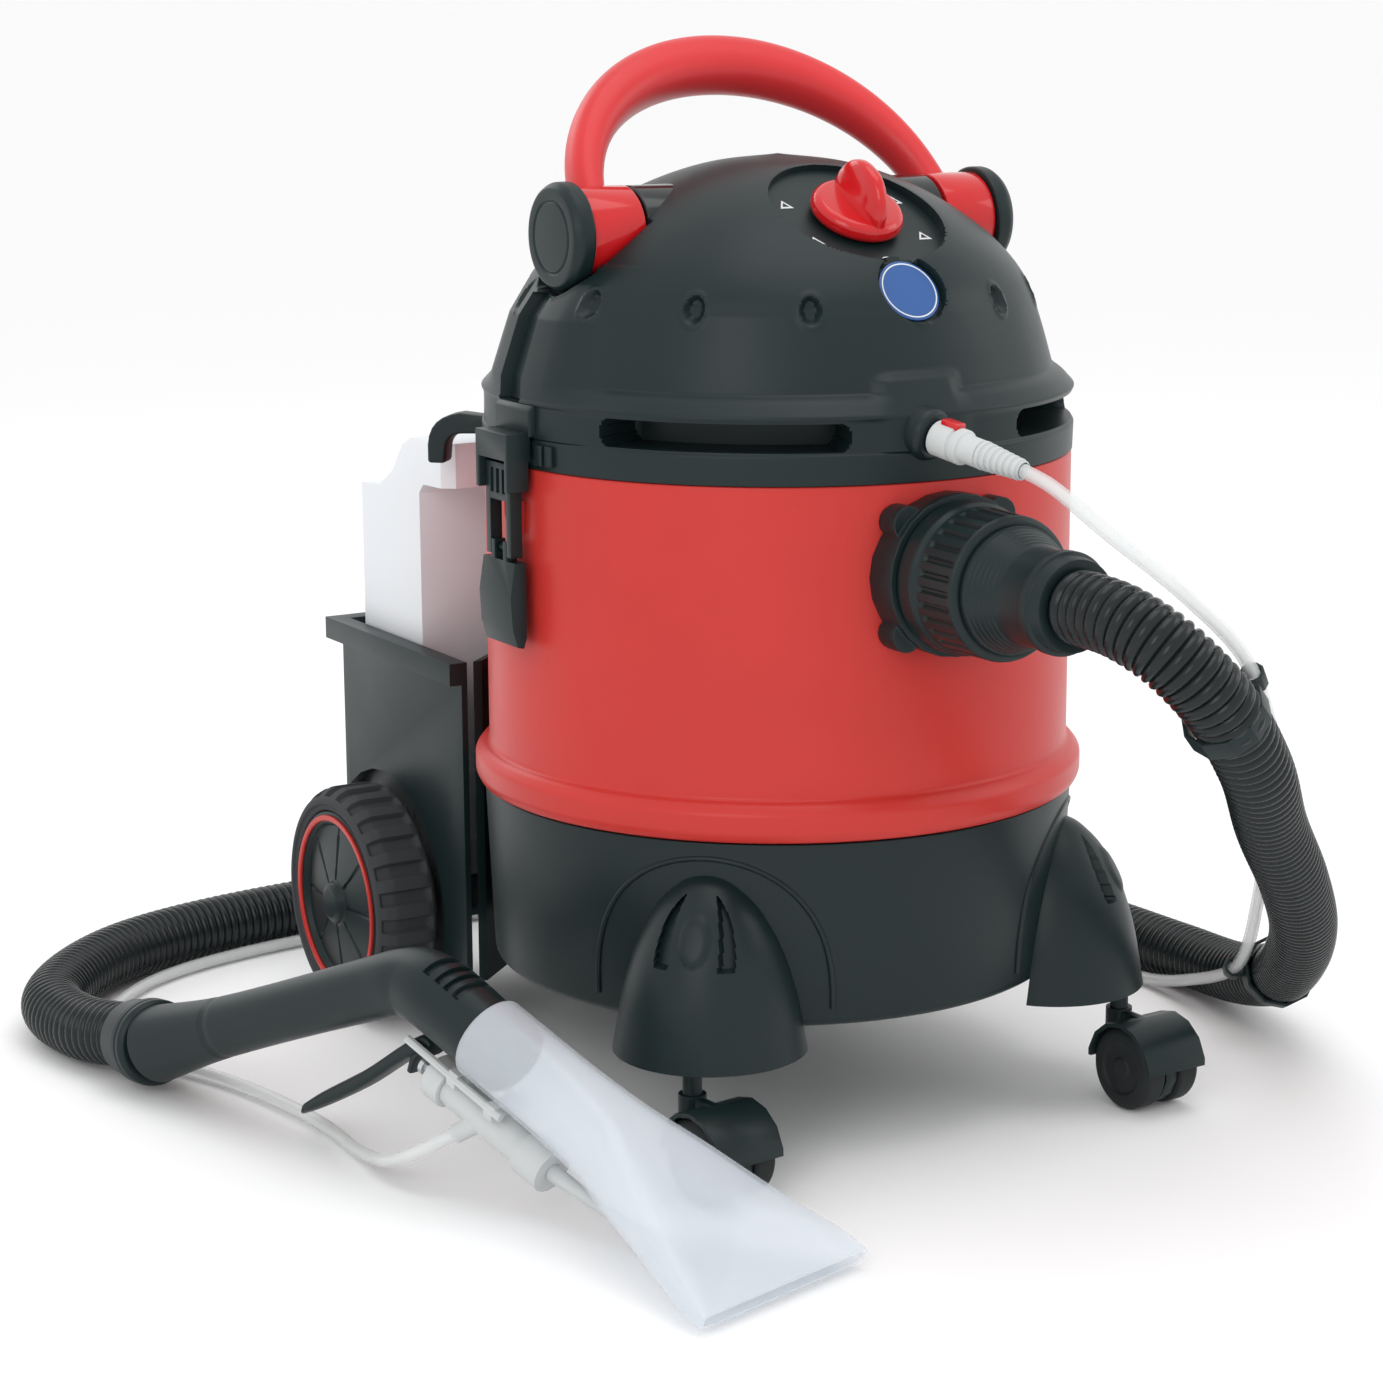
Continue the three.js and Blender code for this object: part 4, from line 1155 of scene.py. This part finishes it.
    def works(self) -> None:
        """Dresses the seal, deck, fan, motor, pump and float inside the head."""
        for node, look in (("head_seal", Look.RUBBER), ("motor_deck", Look.SHELL_BLACK),
                           ("fan_housing", Look.STEEL), ("fan", Look.STEEL), ("motor_body", Look.STEEL),
                           ("float_cage", Look.SHELL_BLACK), ("float_ball", Look.DRUM_RED),
                           ("foam_filter", Look.FILTER_FOAM), ("water_pump", Look.SHELL_BLACK),
                           ("switch_body", Look.SHELL_BLACK), ("cable_gland", Look.RUBBER)):
            dress_node(node, look)

    def make(self) -> None:
        """Makes the whole head."""
        self.shell()
        self.marks()
        self.badge()
        self.works()


def _at_radius(points: np.ndarray, radius: np.ndarray) -> np.ndarray:
    """Moves points straight in or out from the machine's axis.

    Args:
        points: The points.
        radius: The radius that each is moved to.

    Returns:
        The moved points.
    """
    share = radius / np.maximum(np.hypot(points[..., 0], points[..., 1]), 1e-6)
    return np.stack([points[..., 0] * share, points[..., 1] * share, points[..., 2]], -1)


def dress_node(node: str, look: Look) -> None:
    """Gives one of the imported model's own pieces its finish.

    Args:
        node: The piece's node.
        look: Its look.
    """
    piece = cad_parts[node]
    piece.data.materials.clear()
    piece.data.materials.append(look.material)
    piece.data.polygons.foreach_set("material_index", [0] * len(piece.data.polygons))
    piece.data.shade_smooth()
    piece.data.set_sharp_from_angle(angle=math.radians(32))
    log.info("%s: dressed as it is", node)


@dataclass
class SwitchKnob:
    """The glossy red knob with its tall rounded fin."""

    def make(self) -> None:
        """Makes the knob on the panel."""
        normal = Vector(PANEL.normal).normalized()
        disc = rounded([(0, 1), (25, 1), (27.5, 4), (27, 9), (24, 12), (0, 13)], 1.8, 6)
        made = Shape().turned(disc, PANEL.centre, normal, 96)
        slope = Vector((0, -0.866, -0.5))
        heights = smooth_route([(0, 8.4, 25.4), (8, 6.9, 24), (17, 5.6, 18.5), (22.5, 4.0, 10.5),
                                (24.3, 1.4, 3.5)], 8)
        made.lofted([section(PANEL.spot(11 + h), Vector((1, 0, 0)), slope, wide, deep, 2.4, 64)
                     for h, wide, deep in heights])
        made.turned([(0, -3), (5.9, -3), (5.9, 3), (0, 3)], PANEL.centre, normal, 32)
        made.piece("red_knob", Look.GLOSS_RED, "knob", ("switch_knob",))


@dataclass
class CarryHandle:
    """The red arch and the two glossy barrels that it turns on."""

    height: float = 519.0
    reach: float = 120.0
    lean: float = math.radians(40)
    steps: int = 84

    def make(self) -> None:
        """Makes the arch and the barrels."""
        up = Vector((0, math.sin(self.lean), math.cos(self.lean)))
        depth = Vector((0, math.cos(self.lean), -math.sin(self.lean)))
        pivot = Vector((0, 0, self.height))
        rings = []
        for i in range(self.steps + 1):
            turn = math.pi * i / self.steps
            crown = math.sin(turn) ** 1.5
            rise = max(self.reach * math.sin(turn) ** 0.9, 6)
            centre = pivot + Vector((-120.5 * math.cos(turn), 0, 0)) + up * rise
            normal = (Vector((-math.cos(turn) * 1.15, 0, 0)) + up * math.sin(turn)).normalized()
            rings.append(section(centre, depth, normal, 12.4 + 4.6 * crown, 9.0 + 8.0 * crown, 2.3, 56))
        Shape().lofted(rings).piece("handle_arch", Look.HANDLE_RED, "handle", ("carry_handle",))
        for side in Side:
            line = rounded([(14.5, 104.3), (28, 104.3), (28, 138), (14.5, 138)], 1.0, 4, closed=True)
            Shape().turned(line, tuple(pivot), Vector((side.value, 0, 0)), 96, ring=True).piece(
                f"handle_barrel_{side.word}", Look.GLOSS_RED, "handle")


@dataclass
class Latch:
    """A side latch: ledge, swinging link and thumb lever."""

    side: Side

    def make(self) -> None:
        """Makes the latch's three pieces."""
        word = self.side.word
        softened(f"latch_bracket_{word}", Look.SHELL_BLACK, "head", 1.2)
        softened(f"latch_link_{word}", Look.SHELL_BLACK, f"latch_link_{word}", 0.8)
        softened(f"latch_lever_{word}", Look.SHELL_BLACK, f"latch_lever_{word}", 1.4)


COUPLING_AT = Vector((-11, -175.5, 417))
COUPLING_WAY = Vector((0.257, -0.94, -0.2)).normalized()


@dataclass
class TubeCoupling:
    """The light grey snap coupling for the solution tube."""

    def make(self) -> list[bpy.types.Object]:
        """Makes the coupling, its button and the spiral relief.

        Returns:
            The pieces that lie on the tube.
        """
        body = [(0, -16), (6.6, -16), (6.6, 5.6), (10, 5.6), (10, 19), (8.9, 19.4), (8.9, 20.6), (10, 21),
                (10, 26), (8, 27), (8, 38), (0, 38)]
        Shape().turned(rounded(body, 0.9, 4), COUPLING_AT, COUPLING_WAY, 64).piece(
            "snap_coupling", Look.LIGHT_GREY, "head", ("tube_coupling",))
        softened("coupling_button", Look.GLOSS_RED, "coupling_button", 1.0)
        line: Profile = [(4.6, 38.4)]
        for k in range(7):
            z, r = 38.6 + 4.1 * k, 8.2 - 0.34 * k
            line += [(r, z), (r, z + 2.3), (r - 1.3, z + 2.8), (r - 1.3, z + 3.6)]
        line += [(5.7, 67.4), (4.6, 67.8)]
        relief = Shape().turned(rounded(line, 0.45, 3, closed=True), COUPLING_AT, COUPLING_WAY, 48,
                                ring=True).piece("spiral_relief", Look.LIGHT_GREY, "head", ("tube_relief",))
        return [relief]


# ----------------------------------------------------------------- the inlet


@dataclass
class HoseInlet:
    """The lobed flange on the drum, the ribbed nut and the stepped cuff."""

    height: float = 339.0
    grips: int = 30

    def grip(self, rows: np.ndarray) -> np.ndarray:
        """Sinks the finger grooves round the nut."""
        angle = np.arctan2(rows[..., 1], rows[..., 0])
        radius = np.hypot(rows[..., 0], rows[..., 1])
        groove = np.clip((np.cos(angle * self.grips) - 0.35) / 0.3, 0, 1)
        band = np.clip((rows[..., 2] - 209) / 1.5, 0, 1) * np.clip((236 - rows[..., 2]) / 1.5, 0, 1)
        share = 1 - groove * band * (radius > 36) * 1.8 / radius
        return np.stack([rows[..., 0] * share, rows[..., 1] * share, rows[..., 2]], -1)

    def make(self) -> list[bpy.types.Object]:
        """Makes the flange, nut and cuff.

        Returns:
            The pieces that lie on the hose.
        """
        origin = (0, 0, self.height)
        softened("inlet_flange", Look.SHELL_BLACK, "root", 1.6)
        nut = rounded([(24.2, 190.5), (41, 190.5), (43, 192), (43, 204), (41, 206.5), (40.4, 238), (37, 240),
                       (24.2, 240)], 1.2, 4, closed=True)
        nut = finer(nut + nut[:1], 1.5)[:-1]
        Shape().turned(nut, origin, FRONT, 360, ring=True, warp=self.grip).piece(
            "ribbed_nut", Look.SHELL_BLACK, "hose_nut", ("hose_nut",))
        cuff: Profile = [(19, 240.5), (35.4, 240.5), (35.4, 244.5)]
        for k in range(6):
            cuff += [(34.2 - 1.15 * k, 245 + 3 * k), (33.6 - 1.15 * k, 247.6 + 3 * k)]
        cuff += [(27.4, 264), (27, 282), (28.4, 283), (28.4, 289), (26.4, 290), (25.2, 297.6), (19, 297.6)]
        made = Shape().turned(rounded(cuff, 0.6, 3, closed=True), origin, FRONT, 120, ring=True).piece(
            "stepped_cuff", Look.SHELL_BLACK, "root", ("hose_cuff",))
        return [made]


# ----------------------------------------------------- the carrier and tank


@dataclass
class RearCarrier:
    """The bin behind the drum, with the solution tank standing in it."""

    def make(self) -> None:
        """Makes the bin, the tank and its cap, and dresses the axle."""
        softened("tank_carrier", Look.SHELL_BLACK, "root", 1.4)
        softened("solution_tank", Look.MILKY, "tank", 5.0)
        softened("tank_cap", Look.SHELL_BLACK, "tank_cap", 1.0)
        dress_node("wheel_axle", Look.STEEL)
        for side in Side:
            softened(f"cable_hook_{side.word}", Look.SHELL_BLACK, "head", 2.0)


# ------------------------------------------------------------- the hand tool

CUFF = Vector((-345, 156, 31))
RING = Vector((-326, 101, 53))
BEND = Vector((-270, -54, 116))
NECK = Vector((-256, -106, 94))
MOUTH = Vector((-196, -322, 9))
CUFF_WAY = Vector((-0.12, 0.985, -0.12)).normalized()
TOOL_SIDE = Vector((0.963, 0.27, 0)).normalized()


@dataclass
class HandTool:
    """The wand, clear nozzle, spray valve and trigger that lie in front of the left wheel."""

    sides: int = 64
    wall: float = 3.0

    def wand_rows(self, thinner: float) -> np.ndarray:
        """Draws the wand's rings.

        Args:
            thinner: How far inside the outer face they lie.

        Returns:
            The rings.
        """
        first, second = (BEND - RING).normalized(), (NECK - BEND).normalized()
        spots = [CUFF, RING, BEND - first * 34, BEND - first * 15 - UP, BEND + Vector((0, 2, -5)),
                 BEND + second * 15 - UP, BEND + second * 34, NECK + second * 24]
        sizes = [23.6, 18.5, 18.5, 19.5, 21, 22, 22, 21]
        line = smooth_route([(*spot, size) for spot, size in zip(spots, sizes)], 40)
        centres, radii = line[:, :3], line[:, 3] - thinner
        ahead = np.gradient(centres, axis=0)
        angle = np.linspace(0, 2 * math.pi, self.sides, endpoint=False)
        side = np.array(TOOL_SIDE)
        rows = []
        for centre, way, radius in zip(centres, ahead, radii):
            way = way / np.linalg.norm(way)
            up = np.cross(way, side)
            up /= np.linalg.norm(up)
            across = np.cross(up, way)
            reach = np.full(self.sides, radius)
            if not thinner:
                reach -= self.sunk(centre, angle, np.array(second), np.array(first))
            wide, high = np.outer(np.cos(angle) * reach, across), np.outer(np.sin(angle) * reach, up)
            rows.append(centre + wide + high)
        return np.array(rows)

    def sunk(self, centre: np.ndarray, angle: np.ndarray, second: np.ndarray,
             first: np.ndarray) -> np.ndarray:
        """How deep the air slots and the joint's groove are, round one ring.

        Args:
            centre: The ring's middle.
            angle: The angles of its points, from the tool's side.
            second: The wand's direction past its bend.
            first: The wand's direction before it.

        Returns:
            The depths.
        """
        past = float((centre - np.array(BEND)) @ second)
        top = np.abs(angle - math.pi / 2) < 0.62
        slot = any(abs(past - 18 - 7.5 * k) < 1.9 for k in range(4))
        joint = abs(float((centre - np.array(RING)) @ first) - 4) < 1.6
        return np.where(top, 2.6 * slot, 0.0) + 0.9 * joint

    def nozzle_rows(self, thinner: float) -> np.ndarray:
        """Draws the nozzle's rings, from the round neck to the wide flat mouth.

        Args:
            thinner: How far inside the outer face they lie.

        Returns:
            The rings.
        """
        along = MOUTH - NECK
        way = along.normalized()
        up = way.cross(TOOL_SIDE).normalized()
        stations = [(4, 24.5, 24.5, 2, 0), (60, 25, 24.5, 2, 0), (105, 29, 23, 2.3, 0), (135, 38, 19, 2.8, 0),
                    (185, 50, 13, 4, -1), (226, 61, 8, 6, -1), (along.length, 62.5, 5, 8, -1)]
        rows = []
        for distance, wide, high, power, drop in smooth_route(stations, 14):
            ring = section(NECK + way * distance + up * drop, TOOL_SIDE, up, wide - thinner,
                           high - thinner, max(power, 2.0), 96)
            rows.append([tuple(p) for p in ring])
        return np.array(rows)

    def make(self) -> list[bpy.types.Object]:
        """Makes the hand tool.

        Returns:
            The pieces that go with the hose.
        """
        wand = Shape().grid(np.vstack([self.wand_rows(0), self.wand_rows(self.wall)[::-1]]), wrap_rows=True)
        wand.piece("bent_wand", Look.SHELL_BLACK, "root", ("tool_handpiece",), sharp=40)
        nozzle = Shape().grid(np.vstack([self.nozzle_rows(0), self.nozzle_rows(2.0)[::-1]]), wrap_rows=True)
        nozzle.piece("clear_nozzle_body", Look.CLEAR, "root", ("tool_nozzle",))
        band = rounded([(19, 0.5), (24, 0.5), (26.4, 3), (26.4, 6), (25.6, 7), (26.4, 8), (26.4, 13),
                        (24, 16), (23.5, 31.4), (19, 31.4)], 0.9, 4, closed=True)
        cuff = Shape().turned(band, CUFF, CUFF_WAY, 96, ring=True).piece(
            "wand_cuff", Look.SHELL_BLACK, "root", ("tool_cuff",))
        for node, look, body in (("valve_body", Look.LIGHT_GREY, "root"),
                                 ("valve_cap", Look.LIGHT_GREY, "root"),
                                 ("spray_pipe", Look.LIGHT_GREY, "root"),
                                 ("air_slider", Look.SHELL_BLACK, "air_slider")):
            softened(node, look, body, 0.8)
        dress_node("valve_plunger", Look.STEEL)
        self.lever()
        return [cuff]

    def lever(self) -> None:
        """Makes the thick curved trigger under the wand, with the finger that pushes the plunger."""
        way = (MOUTH - NECK).normalized()
        up = way.cross(TOOL_SIDE).normalized()
        origin = NECK - up * 44
        pivot = origin - way * 38 + up * 14
        spots = [(pivot + way * 6, 5.0, 7.0), (pivot, 6.6, 8.0), (Vector((-284, -12, 47)), 7.0, 8.4),
                 (Vector((-294, 26, 25)), 6.2, 8.2), (Vector((-297, 40, 17)), 4.6, 7.6)]
        line = smooth_route([(*spot, thick, wide) for spot, thick, wide in spots], 10)
        made = Shape().lofted([section(Vector((x, y, z)), TOOL_SIDE, up, wide, thick, 3.2, 40)
                               for x, y, z, thick, wide in line])
        finger = [(pivot, 4.5), (origin - way * 42.8 + up * 2, 2.6), (origin - way * 42.8 - up * 8, 2.0)]
        made.lofted([section(spot, TOOL_SIDE, way, 6, thick, 4, 32) for spot, thick in finger])
        made.piece("pull_lever", Look.SHELL_BLACK, "trigger", ("trigger",), bevel_mm=0.6, sharp=50)


HOSE_ROUTE_M = (
    (0.0880, -0.2870, 0.3390), (0.0880, -0.2950, 0.3390), (0.0920, -0.3200, 0.3360),
    (0.1040, -0.3430, 0.3230), (0.1280, -0.3550, 0.2960), (0.1660, -0.3410, 0.2550),
    (0.2140, -0.3010, 0.2060), (0.2640, -0.2630, 0.1600), (0.3120, -0.2190, 0.1150),
    (0.3530, -0.1670, 0.0750), (0.3860, -0.1110, 0.0430), (0.4040, -0.0510, 0.0250),
    (0.4100, 0.0170, 0.0206), (0.4020, 0.1210, 0.0206), (0.3680, 0.2370, 0.0206),
    (0.2760, 0.3490, 0.0206), (0.1080, 0.4150, 0.0206), (-0.0620, 0.4270, 0.0206),
    (-0.1980, 0.3910, 0.0206), (-0.2720, 0.3110, 0.0206), (-0.2750, 0.2510, 0.0214),
    (-0.2634, 0.2094, 0.0258), (-0.2612, 0.2012, 0.0268),
)
TUBE_ROUTE_M = (
    (0.0946, -0.2287, 0.4033), (0.0960, -0.2510, 0.3980), (0.0990, -0.2970, 0.3790),
    (0.1140, -0.3430, 0.3520), (0.1460, -0.3520, 0.3190), (0.1870, -0.3300, 0.2680),
    (0.2300, -0.2790, 0.2200), (0.2680, -0.2340, 0.1710), (0.3010, -0.1900, 0.1220),
    (0.3330, -0.1440, 0.0770), (0.3610, -0.0960, 0.0450), (0.3780, -0.0410, 0.0220),
    (0.3850, 0.0170, 0.0060), (0.3790, 0.1170, 0.0050), (0.3500, 0.2230, 0.0050),
    (0.2640, 0.3230, 0.0050), (0.1060, 0.3930, 0.0050), (-0.0580, 0.4050, 0.0050),
    (-0.1820, 0.3690, 0.0050), (-0.2440, 0.2950, 0.0050), (-0.2480, 0.2490, 0.0050),
    (-0.2380, 0.2070, 0.0050), (-0.2220, 0.1610, 0.0050), (-0.2100, 0.1110, 0.0050),
    (-0.2030, 0.0510, 0.0050), (-0.2050, -0.0090, 0.0060), (-0.2060, -0.0490, 0.0140),
    (-0.1980, -0.0730, 0.0260), (-0.1830, -0.0838, 0.0358),
)


def main() -> None:
    """Builds the machine from the floor up."""
    logging.basicConfig(level=logging.INFO, format="%(name)s: %(message)s")
    studio = Studio()
    studio.camera()
    clips = [softened(node, Look.SHELL_BLACK, "root", 0.6) for node in ("hose_clip_front", "hose_clip_rear")]
    cuffs = HoseInlet().make()
    relief = TubeCoupling().make()
    tool = HandTool().make()
    SuctionHose(HOSE_ROUTE_M).make(cuffs + clips + tool)
    SolutionTube(TUBE_ROUTE_M).make(relief)
    DrumAndBase().make()
    for side, trail in ((Side.LEFT, (0.12, -0.99)), (Side.RIGHT, (0.05, -1.0))):
        CasterHood(side).make()
        TwinCaster(side, trail).make()
        RoadWheel(side).make()
        Latch(side).make()
    RearCarrier().make()
    MotorHead().make()
    SwitchKnob().make()
    CarryHandle().make()
    studio.room()


if __name__ == "__main__":
    main()
